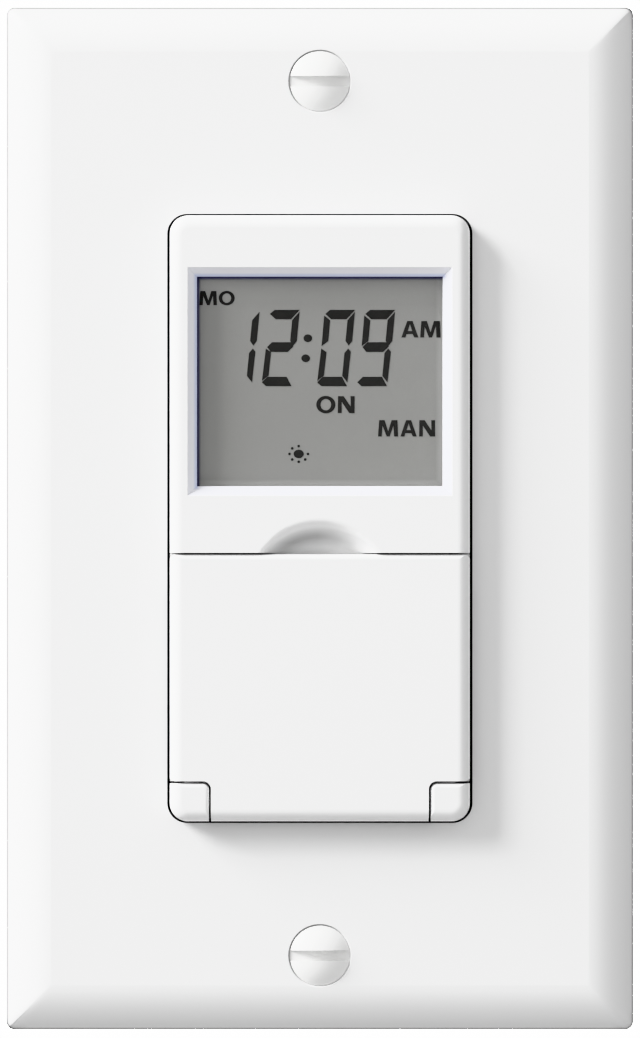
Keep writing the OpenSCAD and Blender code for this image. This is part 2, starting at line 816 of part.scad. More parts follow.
module rear_case()
    color("white") facing()
        difference() {
            union() {
                difference() {
                    round_block(case_w, case_h, 2, -case_d, 0);
                    block(case_w - 2 * case_wall, case_h - 2 * case_wall, case_wall - case_d, past);
                }
                for (x = [-1, 1], y = [-1, 1]) {
                    post(case_post_r, -case_d + touch, 0, x * case_screw_x, y * case_screw_y);
                    block(shelf_w, shelf_h, -case_d + touch, board_back, x * (half_case_w - shelf_w / 2),
                        y * shelf_y);
                    post(power_post_r, -case_d + touch, power_z - power_t, x * (power_w / 2 - 3),
                        y * (power_h / 2 - 6));
                }
                for (spot = terminals)
                    block(pocket_side_w, pocket + 2 * pocket_wall, pocket_z - pocket / 2 - pocket_wall,
                        barrier_z,
                        spot[0] * (half_case_w - touch - pocket_side_w / 2), spot[1]);
            }
            for (spot = terminals) {
                block(2 * pocket_depth, pocket, pocket_z - pocket / 2, pocket_z + pocket / 2,
                    spot[0] * half_case_w, spot[1]);
                cross_rod(terminal_r + 0.25, spot[0] * pocket_x - through, spot[0] * pocket_x + through,
                    spot[1], pocket_z);
                block(tail_t + 0.3, tail_w + 0.6, pocket_z - pocket, pocket_z,
                    spot[0] * (pocket_x + (tail_t + 0.3) / 2), spot[1]);
            }
            for (x = [-1, 1], y = [-1, 1]) {
                post(case_hole_r, -case_d - past, past, x * case_screw_x, y * case_screw_y);
                post(case_head_r + loose, -case_d - past, case_head_z + case_head_t, x * case_screw_x,
                    y * case_screw_y);
            }
            for (slot = [-2:2], side = [-1, 1])
                block(vent_w, 4 * case_wall, -(case_d + vent_d) / 2, -(case_d - vent_d) / 2,
                    slot * vent_pitch, side * half_case_h);
        }

module case_screws()
    color("silver") facing()
        for (x = [-1, 1], y = [-1, 1])
            translate([x * case_screw_x, y * case_screw_y, case_head_z])
                difference() {
                    union() {
                        post(case_screw_r, case_head_t, flange_z - loose - case_head_z);
                        post(case_head_r, 0, case_head_t);
                    }
                    block(2 * case_screw_r + loose, cross_w, -past, case_head_t / 2);
                    block(cross_w, 2 * case_screw_r + loose, -past, case_head_t / 2);
                }

module terminal_plates()
    color("goldenrod") facing()
        for (spot = terminals)
            difference() {
                union() {
                    block(terminal_t, terminal_w, pocket_z - terminal_h / 2, pocket_z + terminal_h / 2,
                        spot[0] * (pocket_x + terminal_t / 2), spot[1]);
                    block(tail_t, tail_w, power_z, pocket_z, spot[0] * (pocket_x + tail_t / 2), spot[1]);
                }
                cross_rod(terminal_r + pin_clear, spot[0] * pocket_x - through,
                    spot[0] * pocket_x + through, spot[1], pocket_z);
            }

module terminal_clamps()
    color("goldenrod") facing()
        for (spot = terminals)
            difference() {
                block(clamp_t, clamp_side, pocket_z - clamp_side / 2, pocket_z + clamp_side / 2,
                    spot[0] * (clamp_x + clamp_t / 2), spot[1]);
                cross_rod(terminal_r + pin_clear, spot[0] * clamp_x - through,
                    spot[0] * clamp_x + through, spot[1], pocket_z);
            }

module terminal_screws()
    color("goldenrod") facing()
        for (spot = terminals)
            translate([0, spot[1], pocket_z]) rotate([0, spot[0] * 90, 0])
                difference() {
                    union() {
                        post(terminal_head_r, clamp_x + clamp_t, half_case_w - 0.4);
                        post(terminal_r, pocket_x - through, clamp_x + clamp_t);
                    }
                    block(terminal_slot, 3 * terminal_head_r, half_case_w - 1.2, half_case_w);
                }

module push_frame()
    color("white") facing()
        difference() {
            union() {
                difference() {
                    block(ring_w, ring_top - rail_low, ring_z, ring_z + ring_t, 0,
                        (ring_top + rail_low) / 2);
                    block(key_window_w, key_window_top - key_window_low, ring_z - past,
                        ring_z + ring_t + past,
                        0, (key_window_top + key_window_low) / 2);
                    post(grip_r, ring_z + 0.5, face_z, 0, ring_top + 3);
                }
                intersection() {
                    face_block();
                    for (side = [-1, 1])
                        translate([side * (ear_x + ear_block / 2), ear_top - ear_block / 2, 0])
                            soft_block(ear_block, ear_block, ear_corner_r, ear_edge_r, ear_back, face_z);
                }
                for (side = [-1, 1]) {
                    block(ring_w / 2 - ear_x, 3, ring_z, ring_z + ring_t, side * (ring_w / 2 + ear_x) / 2,
                        rail_low - 1);
                    block(pivot_lug_w, pivot_lug_h, pivot_z - pivot_r, ring_z + touch,
                        side * (ring_w - pivot_lug_w) / 2, pivot_y);
                    cross_rod(pivot_r, side * pivot_mid - pivot_half, side * pivot_mid + pivot_half,
                        pivot_y, pivot_z);
                }
                post(stub_r, stub_tip + stub_r, ring_z + touch, 0, stub_y);
                translate([0, stub_y, stub_tip + stub_r]) sphere(stub_r);
            }
            for (side = [-1, 1])
                cross_rod(hinge_r + pin_clear, side * (ear_x + hinge_pin / 2) - hinge_pin / 2 - loose,
                    side * (ear_x + hinge_pin / 2) + hinge_pin / 2 + loose, hinge_y, hinge_z);
        }

// Half cross-section of the door's relief that clears a hinge block as the door turns
module relief_profile() {
    intersection() {
        translate([relief_r - ear_corner_r, ear_corner_r]) circle(ear_corner_r);
        square([relief_r, ear_corner_r]);
    }
    square([relief_r - ear_corner_r, ear_corner_r]);
    translate([0, ear_corner_r]) square([relief_r, 2 * ear_w - ear_corner_r]);
}

module flip_door()
    color("white") facing()
        union() {
            difference() {
                intersection() {
                    face_block();
                    block(face_w + past, face_h, door_z, face_z, 0, door_top - face_h / 2);
                }
                for (side = [-1, 1]) {
                    round_block(2 * ear_w, 2 * ear_h, ear_corner_r + seam, door_z - past, face_z + past,
                        side * (ear_x - seam + ear_w), ear_top + ear_gap - ear_h);
                    translate([side * (ear_x - seam), hinge_y, hinge_z]) rotate([0, side * 90, 0])
                        rotate_extrude() relief_profile();
                    translate([side * face_w / 2, door_top, door_z - past])
                        linear_extrude(door_t + 2 * past)
                            difference() {
                                square(2 * door_corner_r, center = true);
                                translate([-side * door_corner_r, -door_corner_r]) circle(door_corner_r);
                            }
                }
                translate([0, door_top, face_z])
                    along_x(face_w + past)
                        difference() {
                            square(2 * door_top_r, center = true);
                            translate([-door_top_r, -door_top_r]) circle(door_top_r);
                        }
            }
            cross_rod(barrel_r, seam - ear_x, ear_x - seam, hinge_y, hinge_z);
            cross_rod(hinge_r, loose - ear_x - hinge_pin, ear_x + hinge_pin - loose, hinge_y, hinge_z);
        }

// Key with a skirt that holds it behind the deck
module key_cap(x, y) {
    round_block(key_w, key_h, key_corner_r, key_back + key_skirt_t - touch, key_top, x, y);
    round_block(key_w + 2 * key_skirt, key_h + 2 * key_skirt, key_corner_r, key_back,
        key_back + key_skirt_t, x, y);
}

// Plunger of a push switch
module plunger(x, y, tip, foot)
    post(plunger_r, foot, tip, x, y);

module on_off_plunger()
    color("ivory") facing() plunger(0, stub_y, stub_tip - 0.02, plunger_rest + press_travel);

module mode_key()
    color("whitesmoke") facing() key_cap(-key_x, upper_key_y);

module mode_plunger()
    color("ivory") facing() plunger(-key_x, upper_key_y, key_back, plunger_rest + key_travel);

module day_key()
    color("whitesmoke") facing() key_cap(key_x, upper_key_y);

module day_plunger()
    color("ivory") facing() plunger(key_x, upper_key_y, key_back, plunger_rest + key_travel);

module minus_key()
    color("whitesmoke") facing() key_cap(-key_x, lower_key_y);

module minus_plunger()
    color("ivory") facing() plunger(-key_x, lower_key_y, key_back, plunger_rest + key_travel);

module plus_key()
    color("whitesmoke") facing() key_cap(key_x, lower_key_y);

module plus_plunger()
    color("ivory") facing() plunger(key_x, lower_key_y, key_back, plunger_rest + key_travel);

module reset_key()
    color("tomato") facing() {
        post(reset_r, key_back, reset_top, 0, reset_y);
        post(reset_r + key_skirt, key_back, key_back + key_skirt_t, 0, reset_y);
    }

module reset_plunger()
    color("ivory") facing() plunger(0, reset_y, key_back, plunger_rest + key_travel);

wall_plate();
plate_screws();
mounting_strap();
ground_screw();
front_housing();
display_lens();
display_gasket();
front_glass();
rear_glass();
reflector_film();
display_holder();
contact_strips();
logic_board();
controller_chip();
clock_crystal();
battery_holder();
backup_battery();
key_switches();
on_off_switch();
header_pins();
power_board();
relay();
film_capacitor();
smoothing_capacitors();
varistor();
fuse();
rectifier_diodes();
insulating_barrier();
rear_case();
case_screws();
terminal_plates();
terminal_clamps();
terminal_screws();
push_frame();
flip_door();
on_off_plunger();
mode_key();
mode_plunger();
day_key();
day_plunger();
plus_key();
plus_plunger();
minus_key();
minus_plunger();
reset_key();
reset_plunger();
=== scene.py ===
"""Programmable wall timer with a screwed plate, a segment display and a push pad that opens as a door."""
import json
import math

import bmesh
import bpy
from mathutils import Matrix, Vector


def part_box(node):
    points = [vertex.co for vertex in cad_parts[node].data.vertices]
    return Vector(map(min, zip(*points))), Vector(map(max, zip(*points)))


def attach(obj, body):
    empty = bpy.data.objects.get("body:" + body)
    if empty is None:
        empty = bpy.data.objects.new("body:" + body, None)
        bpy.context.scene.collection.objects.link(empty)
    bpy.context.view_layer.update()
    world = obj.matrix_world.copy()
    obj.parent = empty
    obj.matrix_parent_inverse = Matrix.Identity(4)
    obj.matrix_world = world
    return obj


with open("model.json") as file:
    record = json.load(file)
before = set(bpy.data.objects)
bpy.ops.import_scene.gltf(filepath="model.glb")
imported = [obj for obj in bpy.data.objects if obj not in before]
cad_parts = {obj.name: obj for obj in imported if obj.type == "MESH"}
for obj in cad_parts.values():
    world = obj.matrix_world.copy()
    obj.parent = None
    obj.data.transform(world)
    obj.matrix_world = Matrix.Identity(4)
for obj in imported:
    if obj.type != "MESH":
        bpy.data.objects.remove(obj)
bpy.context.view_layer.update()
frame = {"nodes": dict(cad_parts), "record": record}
nodes = frame["nodes"]
MM = 0.001

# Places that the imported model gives, in metres
lens_low, lens_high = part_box("display_lens")
plate_low, plate_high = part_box("wall_plate")
door_low, door_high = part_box("flip_door")
screws_low, screws_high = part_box("plate_screws")
ground_low, ground_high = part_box("ground_screw")
glass_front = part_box("front_glass")[0].y
plate_front = plate_low.y
face_front = door_low.y
face_half_w = door_high.x
face_half_h = -door_low.z
door_top = door_high.z
lens_lip = 1.0 * MM
window_half_w = lens_high.x - lens_lip
window_half_h = (lens_high.z - lens_low.z) / 2 - lens_lip
window_middle = (lens_high.z + lens_low.z) / 2
window_low = window_middle - window_half_h
window_top = window_middle + window_half_h
screw_head_r = screws_high.x
screw_height = screws_high.z - screw_head_r

# Display marks, in millimetres from the middle of the plate
INK_T = 0.02
INK_LIFT = 0.03
DIGIT_W = 3.39
DIGIT_H = 8.45
DIGIT_MID = 4.33
DIGIT_BAR = 1.04
DIGIT_STROKE = 0.74
DIGIT_SLANT = 0.0945
DIGIT_LOW = 14.64
# Bars that each digit shows, and the place of its left side at its foot
DIGITS = (("bc", -10.84), ("abged", -6.41), ("abcdef", -0.28), ("abcdfg", 4.16))
COLON_DOTS = ((-1.33, 19.95), (-1.57, 17.73))
COLON_DOT = (0.48, 0.43)
# Words of the display: lower and upper line, then each letter with its left and right side
LEGENDS = {
    "mo": (23.61, 25.17, (("M", -13.33, -11.39), ("O", -11.19, -9.43))),
    "am": (20.03, 21.86, (("A", 9.02, 10.92), ("M", 11.11, 13.36))),
    "on": (11.66, 13.54, (("O", -0.40, 1.72), ("N", 1.98, 3.85))),
    "man": (9.07, 10.88, (("M", 6.44, 8.66), ("A", 8.92, 10.73), ("N", 10.99, 12.76))),
}
SUN_AT = (-2.34, 7.14)
SUN_DISC = (0.56, 0.48)
SUN_RING = (1.02, 0.87)
SUN_DOT = 0.15
SUN_RAYS = 8
SUN_GAP_RAY = 1

# Marks on the keys, in millimetres
MARK_STROKE = 0.55
MARK_SPAN = 2.3
DAY_DOTS = 7
DAY_DOT_R = 0.24
DAY_DOT_PITCH = 0.74
CLOCK_DOTS = 12
CLOCK_DOT_R = 0.16
CLOCK_RING_R = 1.3

# Threads, in millimetres
PLATE_SHANK_R = 1.7
PLATE_THREAD_PITCH = 0.79
PLATE_THREAD_START = 0.3
GROUND_SHANK_R = 1.75
GROUND_THREAD_PITCH = 0.79
GROUND_THREAD_L = 2.6
THREAD_RIDGE = 0.16
THREAD_END_GAP = 0.25

# Points round an oval, a letter's bow, a turn of thread, a thread's ridge, a dot and the floor
OVAL_POINTS = 28
BOW_POINTS = 36
TURN_POINTS = 40
RIDGE_POINTS = 6
DOT_POINTS = 20
FLOOR_POINTS = 96

# The photograph's frame, in pixels and millimetres, and the far end of the camera's view in metres
IMAGE_H = 1038
MM_PER_PIXEL = 0.11075
FRAME_MIDDLE = (0.017, -0.066)
LENS_MM = 600
SENSOR_MM = 36
VIEW_END = 50

# Mouldings: colour, roughness, width and depth of the grain, change of tone and width of its patches
WHITE = (0.80, 0.80, 0.80)
USUAL_GRAIN = (0.35, 0.004, 0.015, 14.0)
INK_GRAIN = (0.12, 0.001, 0.12, 1.5)
MOULDINGS = {
    "plate_plastic": (WHITE, 0.36, 0.5, 0.0015, 0.006, 40),
    "face_plastic": (WHITE, 0.42, 0.4, 0.002, 0.006, 30),
    "screw_paint": ((0.81, 0.81, 0.805), 0.3, 0.3, 0.004, 0.01, 3),
    "gasket_foam": ((0.02, 0.02, 0.022), 0.9, 0.15, 0.03, 0.2, 1.0),
    "display_glass": ((0.41, 0.41, 0.407), 0.58, 0.2, 0.0005, 0.02, 9),
    "display_film": ((0.26, 0.27, 0.26), 0.4, 0.1, 0.002, 0.03, 5),
    "holder_plastic": ((0.62, 0.62, 0.60), 0.5, *USUAL_GRAIN),
    "component_black": ((0.012, 0.012, 0.014), 0.5, 0.15, 0.008, 0.15, 4),
    "plunger_ivory": ((0.66, 0.60, 0.47), 0.4, *USUAL_GRAIN),
    "key_plastic": ((0.52, 0.53, 0.54), 0.5, 0.3, 0.008, 0.02, 3),
    "relay_blue": ((0.012, 0.045, 0.24), 0.35, *USUAL_GRAIN),
    "film_yellow": ((0.58, 0.36, 0.03), 0.4, *USUAL_GRAIN),
    "sleeve_navy": ((0.02, 0.03, 0.10), 0.3, *USUAL_GRAIN),
    "varistor_blue": ((0.02, 0.10, 0.28), 0.45, 0.8, 0.02, 0.08, 2),
    "fuse_ceramic": ((0.68, 0.62, 0.50), 0.6, 0.2, 0.01, 0.05, 2),
    "barrier_sheet": ((0.70, 0.66, 0.52), 0.65, 0.25, 0.01, 0.04, 3),
    "case_plastic": ((0.70, 0.70, 0.69), 0.5, 0.4, 0.012, 0.02, 10),
    "segment_ink": ((0.047, 0.047, 0.047), 0.6, *INK_GRAIN),
    "key_ink": ((0.03, 0.03, 0.035), 0.6, *INK_GRAIN),
    "floor_paint": ((0.82, 0.82, 0.82), 0.8, 2.0, 0.02, 0.01, 60),
}
GRAIN_DETAIL = 3.0
GRAIN_WEAR = 0.05
INK_SHINE = 0.1

# Metals: colour, roughness, stretch of the streaks along each axis and their width
METALS = {
    "strap_steel": ((0.62, 0.63, 0.65), 0.38, (1, 1, 0.12), 0.35),
    "ground_green": ((0.05, 0.30, 0.09), 0.34, (1, 1, 1), 0.3),
    "bright_metal": ((0.66, 0.66, 0.67), 0.28, (1, 1, 1), 0.25),
    "terminal_brass": ((0.70, 0.47, 0.17), 0.3, (1, 1, 1), 0.25),
}
STREAK_DETAIL = 4.0
STREAK_WEAR = 0.08
STREAK_TONE = 0.06
STREAK_DEPTH = 0.003

# Tints that multiply a moulding's colour; each is painted shade, painted shadow, painted light, a painted
# highlight or a painted reflection
PAINTED_GAP_SHADE = (0.004, 0.004, 0.005)
FOOT_SHADE = (0.62, 0.62, 0.62)
EDGE_HIGHLIGHT = (1.24, 1.24, 1.24)
CHAMFER_REFLECTION = (1.02, 1.025, 1.07)
LIP_REFLECTION = (0.72, 0.77, 0.93)
SCOOP_SHADE = (0.32, 0.32, 0.32)
SCOOP_FLOOR_LIGHT = (1.2, 1.2, 1.2)
RIM_SHADE = (0.40, 0.40, 0.40)
HOLE_SHADOW = (0.45, 0.45, 0.45)
LCD_UPPER_LIGHT = (1.2, 1.2, 1.2)
LCD_EDGE_SHADOW = (0.30, 0.30, 0.52)

# Each pair below says where a tint starts and where it is full, in millimetres from an edge or a surface
# Painted shade in the gap round the face, with its strength at the top and elsewhere
GAP_DEPTH = (0.03, 0.15)
GAP_UNDER_TOP = (0.1, 1.6)
GAP_STRENGTH = (0.25, 1.0)
GAP_PLATE_WALL = (0.36, 0.32)
GAP_FACE_WALL = (-0.1, -0.05)
# Side walls of the face: painted shade at their foot, and a thin painted highlight along their edge
FOOT_HEIGHT = (1.2, 0.3)
HIGHLIGHT_LINE_WIDTH = (-0.18, -0.1)
HIGHLIGHT_LINE_UNDER_FACE = (0.5, 0.7)
HIGHLIGHT_LINE_OVER_PLATE = (0.9, 1.2)
# Chamfer round the window with a painted cool reflection that lightens it, and a painted blue reflection on
# the lip at its inner edge on the left and the top
CHAMFER_DEPTH = (0.02, 0.06)
CHAMFER_WIDTH = (1.25, 1.2)
LIP_WIDTH = (0.42, 0.12)
LIP_SIDES = (0.3, 0.0)
# Display: painted light on its right and lower edge with its share of white, painted light on its upper
# part, painted shadow on its left and top edge
LCD_LIT_EDGE = (0.8, 0.05)
LCD_LIT_SHARE = 0.45
LCD_UPPER_PART = (3.0, 0.3)
LCD_SHADOW_EDGE = (0.42, 0.12)
LCD_METAL = 0.7
LCD_SHINE = 0.1
# Painted shade in the slot beside each hinge block: its sides and its top from the middle of the plate
SLOT_SIDES = (12.04, 12.26)
SLOT_SIDE_FADE = (0.03, 0.0)
SLOT_TOP = -29.3
SLOT_TOP_FADE = (0.05, -0.05)
SLOT_DEPTH = (0.3, 0.5)
# Thumb scoop: its outline, then painted shade on its wall and painted light on its floor, with the strength
# of the shade
SCOOP_HALF_W = (7.4, 7.1)
SCOOP_UNDER_WINDOW = (2.6, 2.9)
SCOOP_OVER_DOOR = (-0.1, 0.0)
SCOOP_WALL_TOP = (0.5, 1.6)
SCOOP_WALL_FOOT = (2.35, 1.8)
SCOOP_LEFTWARD = (4.2, -0.3)
SCOOP_LEFT_STRENGTH = (0.12, 0.65)
SCOOP_UPWARD = (0.1, 1.3)
SCOOP_UP_STRENGTH = (0.2, 1.0)
SCOOP_FLOOR_DEPTH = (2.0, 2.3)
SCOOP_FLOOR_HEIGHT = (1.3, 0.2)
# Plate: radius of its corners, its rim line of painted shade, and the soft lines where its sloped sides
# meet
PLATE_CORNER = 1.0
RIM_WIDTH = (0.32, 0.18)
RIM_OFF_WALL = (2.55, 2.75)
RIM_TOP_LEFT = (1.2, 0.4)
RIM_STRENGTH = (0.5, 1.0)
CORNER_LINE_WIDTH = (2.4, 1.2)
CORNER_LINE_LENGTH = (6.0, 2.0)
CORNER_LINE_R = 1.7
CORNER_LINE_SAMPLES = 8
# Painted shadow in the holes of the plate screws
HOLE_REACH = (0.35, 0.25)
HOLE_DEPTH = (0.01, 0.06)
HOLE_UPPER_LEFT = (-1.0, 3.0)
# Stripe on the capacitors' sleeves
STRIPE_UNDER_TOP = (0.9, 0.8)
STRIPE_PALE = (0.5, 0.52, 0.56)

# Clear window: its colour, wear and shine straight on and aslant
LENS_CLEAR = (0.985, 0.985, 0.98)
LENS_WEAR_SIZE = 2.5
LENS_WEAR = (0.04, 0.09)
LENS_TILT = 0.5
LENS_FALL_OFF = 4.0
LENS_SHINE = (0.015, 0.5)

# Contact strips: pitch and depth of their layers in millimetres, dark and soft layers
LAYER_PITCH = 0.9
LAYER_DEPTH = 0.01
LAYER_WAVER = 0.2
LAYER_DARK = (0.03, 0.03, 0.03)
LAYER_PINK = (0.62, 0.30, 0.36)
RUBBER_ROUGHNESS = 0.7

# Boards: pitch of tracks and pads in millimetres, their outlines as shares of it, colours and gloss
TRACK_PITCH = 5.0
TRACK_WANDER = 0.55
TRACK_EDGE = (0.10, 0.07)
TRACK_DEPTH = 0.03
PAD_PITCH = 2.54
PAD_EDGE = (0.22, 0.20)
MASK_DARK = (0.018, 0.105, 0.045)
MASK_PALE = (0.035, 0.20, 0.085)
PAD_TIN = (0.55, 0.55, 0.52)
MASK_WEAR_SIZE = 0.8
MASK_WEAR = (0.25, 0.4)

# Light: ways towards the lights, their distances and sizes in metres, powers in watts, room strengths
KEY_WAY = Vector((-0.785, -0.262, 0.562)).normalized()
KEY_REACH = 3.0
KEY_SIZE = 1.3
KEY_POWER = 192
BACK_WAY = Vector((0.15, 1.0, 0.25)).normalized()
BACK_REACH = 1.6
BACK_SIZE = 0.9
BACK_POWER = 14
FRONT_ROOM = 1.01
BACK_ROOM = 0.10
BACKDROP = 16
# The room is bright in front of the part, apart from a patch round the camera
BRIGHT_FROM = (-0.05, -0.25)
BRIGHT_TO = (-0.96, -0.92)

# Floor, in millimetres
FLOOR_Z = -75.0
FLOOR_R = 380.0

# Sockets of the Mix node that hold its factor, its two colours and its result
MIX_FACTOR, MIX_FIRST, MIX_SECOND = 0, 6, 7
MIX_RESULT = 2


def feed(tree, node, inputs):
    """Gives a node's inputs their values, or links them to other nodes' sockets."""
    for key, value in inputs.items():
        if isinstance(value, bpy.types.NodeSocket):
            tree.links.new(value, node.inputs[key])
        else:
            node.inputs[key].default_value = value


def add(tree, kind, inputs=None, **settings):
    """A new node with its settings and inputs."""
    made = tree.nodes.new(kind)
    for key, value in settings.items():
        setattr(made, key, value)
    feed(tree, made, inputs or {})
    return made


def new_material(name):
    """A node material, its tree and its Principled shader."""
    made = bpy.data.materials.new(name)
    made.use_nodes = True
    return made, made.node_tree, made.node_tree.nodes["Principled BSDF"]


def maths(tree, kind, first, second=0.0, third=0.0):
    """One step of arithmetic."""
    inputs = {0: first, 1: second, 2: third}
    return add(tree, "ShaderNodeMath", inputs, operation=kind).outputs[0]


def less(tree, first, second):
    """One value less another."""
    return maths(tree, "SUBTRACT", first, second)


def larger(tree, first, second):
    """The larger of two values."""
    return maths(tree, "MAXIMUM", first, second)


def product(tree, *factors):
    """Several factors multiplied together."""
    result = factors[0]
    for factor in factors[1:]:
        result = maths(tree, "MULTIPLY", result, factor)
    return result


def slanted(tree, across, upright):
    """Length of the slanted line over a length across and a length upright."""
    return maths(tree, "SQRT", maths(tree, "MULTIPLY_ADD", across, across, product(tree, upright, upright)))


def place_on(tree, stretch=(1, 1, 1)):
    """The piece's own coordinates, stretched along its axes."""
    here = add(tree, "ShaderNodeTexCoord").outputs["Object"]
    return add(tree, "ShaderNodeMapping", {"Vector": here, "Scale": stretch}).outputs["Vector"]


def along(tree, axis):
    """One of the piece's own coordinates, in metres."""
    here = add(tree, "ShaderNodeTexCoord").outputs["Object"]
    return add(tree, "ShaderNodeSeparateXYZ", {"Vector": here}).outputs[axis]


def apart(tree, axis):
    """Distance from the middle along one axis, in metres."""
    return maths(tree, "ABSOLUTE", along(tree, axis))


def past_box(tree, half_w, half_h, middle):
    """How far a place lies outside an upright rectangle on the front, in metres; below 0 inside it."""
    across = less(tree, apart(tree, "X"), half_w)
    height = maths(tree, "ABSOLUTE", less(tree, along(tree, "Z"), middle))
    return larger(tree, across, less(tree, height, half_h))


def step(tree, value, start, end):
    """A factor that goes from 0 at start to 1 at end."""
    inputs = {"Value": value, "From Min": start, "From Max": end}
    return add(tree, "ShaderNodeMapRange", inputs).outputs["Result"]


def ramp(tree, value, place, stretch, way=1):
    """A factor from 0 to 1 between two distances from a place; way -1 measures them downwards."""
    start, end = (place + way * distance * MM for distance in stretch)
    return step(tree, value, start, end)


def spread(tree, fac, low, high):
    """A 0 to 1 factor spread between two values."""
    return add(tree, "ShaderNodeMapRange", {"Value": fac, "To Min": low, "To Max": high}).outputs["Result"]


def noise(tree, size, detail=2.0, stretch=(1, 1, 1)):
    """Noise whose lumps are about size millimetres wide."""
    inputs = {"Vector": place_on(tree, stretch), "Scale": 1 / (size * MM), "Detail": detail}
    return add(tree, "ShaderNodeTexNoise", inputs).outputs["Fac"]


def opaque(colour):
    """A colour with its cover, or a socket as it is."""
    return colour if isinstance(colour, bpy.types.NodeSocket) else (*colour, 1)


def blend_colours(tree, fac, first, second, way="MIX"):
    """Two colours put together by a factor."""
    inputs = {MIX_FACTOR: fac, MIX_FIRST: opaque(first), MIX_SECOND: opaque(second)}
    return add(tree, "ShaderNodeMix", inputs, data_type="RGBA", blend_type=way).outputs[MIX_RESULT]


def tint(tree, tone, fac, colour):
    """A tone that is multiplied by a colour where a factor is 1."""
    return blend_colours(tree, 1.0, tone, blend_colours(tree, fac, (1, 1, 1), colour), "MULTIPLY")


def lighter(colour, by):
    """A colour lightened, or darkened where by is below 0."""
    return tuple(min(1.0, part * (1 + by)) for part in colour)


def relief(tree, shader, fac, depth):
    """Bumps of a depth in millimetres on the shader's surface."""
    bumps = add(tree, "ShaderNodeBump", {"Height": fac, "Distance": depth * MM, "Strength": 1.0})
    feed(tree, shader, {"Normal": bumps.outputs["Normal"]})


def moulded(name):
    """Moulded plastic: a slight change of tone from place to place over a fine grain."""
    colour, roughness, grain, depth, change, patch = MOULDINGS[name]
    made, tree, shader = new_material(name)
    tone = blend_colours(tree, noise(tree, patch), lighter(colour, -change), lighter(colour, change))
    fine = noise(tree, grain, GRAIN_DETAIL)
    worn = spread(tree, fine, roughness - GRAIN_WEAR, roughness + GRAIN_WEAR)
    feed(tree, shader, {"Base Color": tone, "Roughness": worn})
    relief(tree, shader, fine, depth)
    return made, tree, shader, tone


def plated(name):
    """Plated or bright metal, with faint streaks."""
    colour, roughness, stretch, width = METALS[name]
    made, tree, shader = new_material(name)
    streaks = noise(tree, width, STREAK_DETAIL, stretch)
    tone = blend_colours(tree, streaks, lighter(colour, -STREAK_TONE), lighter(colour, STREAK_TONE))
    worn = spread(tree, streaks, roughness - STREAK_WEAR, roughness + STREAK_WEAR)
    feed(tree, shader, {"Base Color": tone, "Roughness": worn, "Metallic": 1.0})
    relief(tree, shader, streaks, STREAK_DEPTH)
    return made


def gap_shade_mask(tree, wall):
    """Mask of painted shade on the walls of the gap round the face: 1 below the plate's front, and less
    along its top.
    """
    deep = ramp(tree, along(tree, "Y"), plate_front, GAP_DEPTH)
    under_top = ramp(tree, along(tree, "Z"), face_half_h, GAP_UNDER_TOP, -1)
    return product(tree, deep, wall, spread(tree, under_top, *GAP_STRENGTH))


def hinge_slot_shade(tree):
    """Mask of painted shade, 1 deep in the slots beside the hinge blocks."""
    across = apart(tree, "X")
    inner = ramp(tree, across, SLOT_SIDES[0] * MM, SLOT_SIDE_FADE, -1)
    outer = ramp(tree, across, SLOT_SIDES[1] * MM, SLOT_SIDE_FADE)
    low = ramp(tree, along(tree, "Z"), SLOT_TOP * MM, SLOT_TOP_FADE)
    deep = ramp(tree, along(tree, "Y"), face_front, SLOT_DEPTH)
    return product(tree, inner, outer, low, deep)


def in_scoop(tree):
    """1 across the thumb scoop, between the window and the top of the door."""
    across = ramp(tree, apart(tree, "X"), 0, SCOOP_HALF_W)
    height = along(tree, "Z")
    under = ramp(tree, height, window_low, SCOOP_UNDER_WINDOW, -1)
    over = ramp(tree, height, door_top, SCOOP_OVER_DOOR)
    return product(tree, across, under, over)


def scoop_wall_shade(tree):
    """How much painted shade darkens the thumb scoop's wall: most half-way down and on its left."""
    depth = along(tree, "Y")
    inside = ramp(tree, depth, face_front, SCOOP_WALL_TOP)
    rising = ramp(tree, depth, face_front, SCOOP_WALL_FOOT)
    leftward = spread(tree, ramp(tree, along(tree, "X"), 0, SCOOP_LEFTWARD), *SCOOP_LEFT_STRENGTH)
    upward = spread(tree, ramp(tree, along(tree, "Z"), door_top, SCOOP_UPWARD), *SCOOP_UP_STRENGTH)
    return product(tree, in_scoop(tree), inside, rising, leftward, upward)


def scoop_floor_light(tree):
    """Mask of painted light, 1 along the foot of the thumb scoop, next to the door."""
    deep = ramp(tree, along(tree, "Y"), face_front, SCOOP_FLOOR_DEPTH)
    low = ramp(tree, along(tree, "Z"), door_top, SCOOP_FLOOR_HEIGHT)
    return product(tree, in_scoop(tree), deep, low)


def plate_rim_shade(tree):
    """How much painted shade darkens the plate's rounded outer edge: most along its top and left."""
    aside = larger(tree, less(tree, apart(tree, "X"), plate_high.x - PLATE_CORNER * MM), 0)
    above = larger(tree, less(tree, apart(tree, "Z"), plate_high.z - PLATE_CORNER * MM), 0)
    edge = ramp(tree, slanted(tree, aside, above), PLATE_CORNER * MM, RIM_WIDTH, -1)
    rounded = ramp(tree, along(tree, "Y"), 0, RIM_OFF_WALL, -1)
    left = ramp(tree, along(tree, "X"), -plate_high.x, RIM_TOP_LEFT)
    top = ramp(tree, along(tree, "Z"), plate_high.z, RIM_TOP_LEFT, -1)
    return product(tree, edge, rounded, spread(tree, larger(tree, left, top), *RIM_STRENGTH))


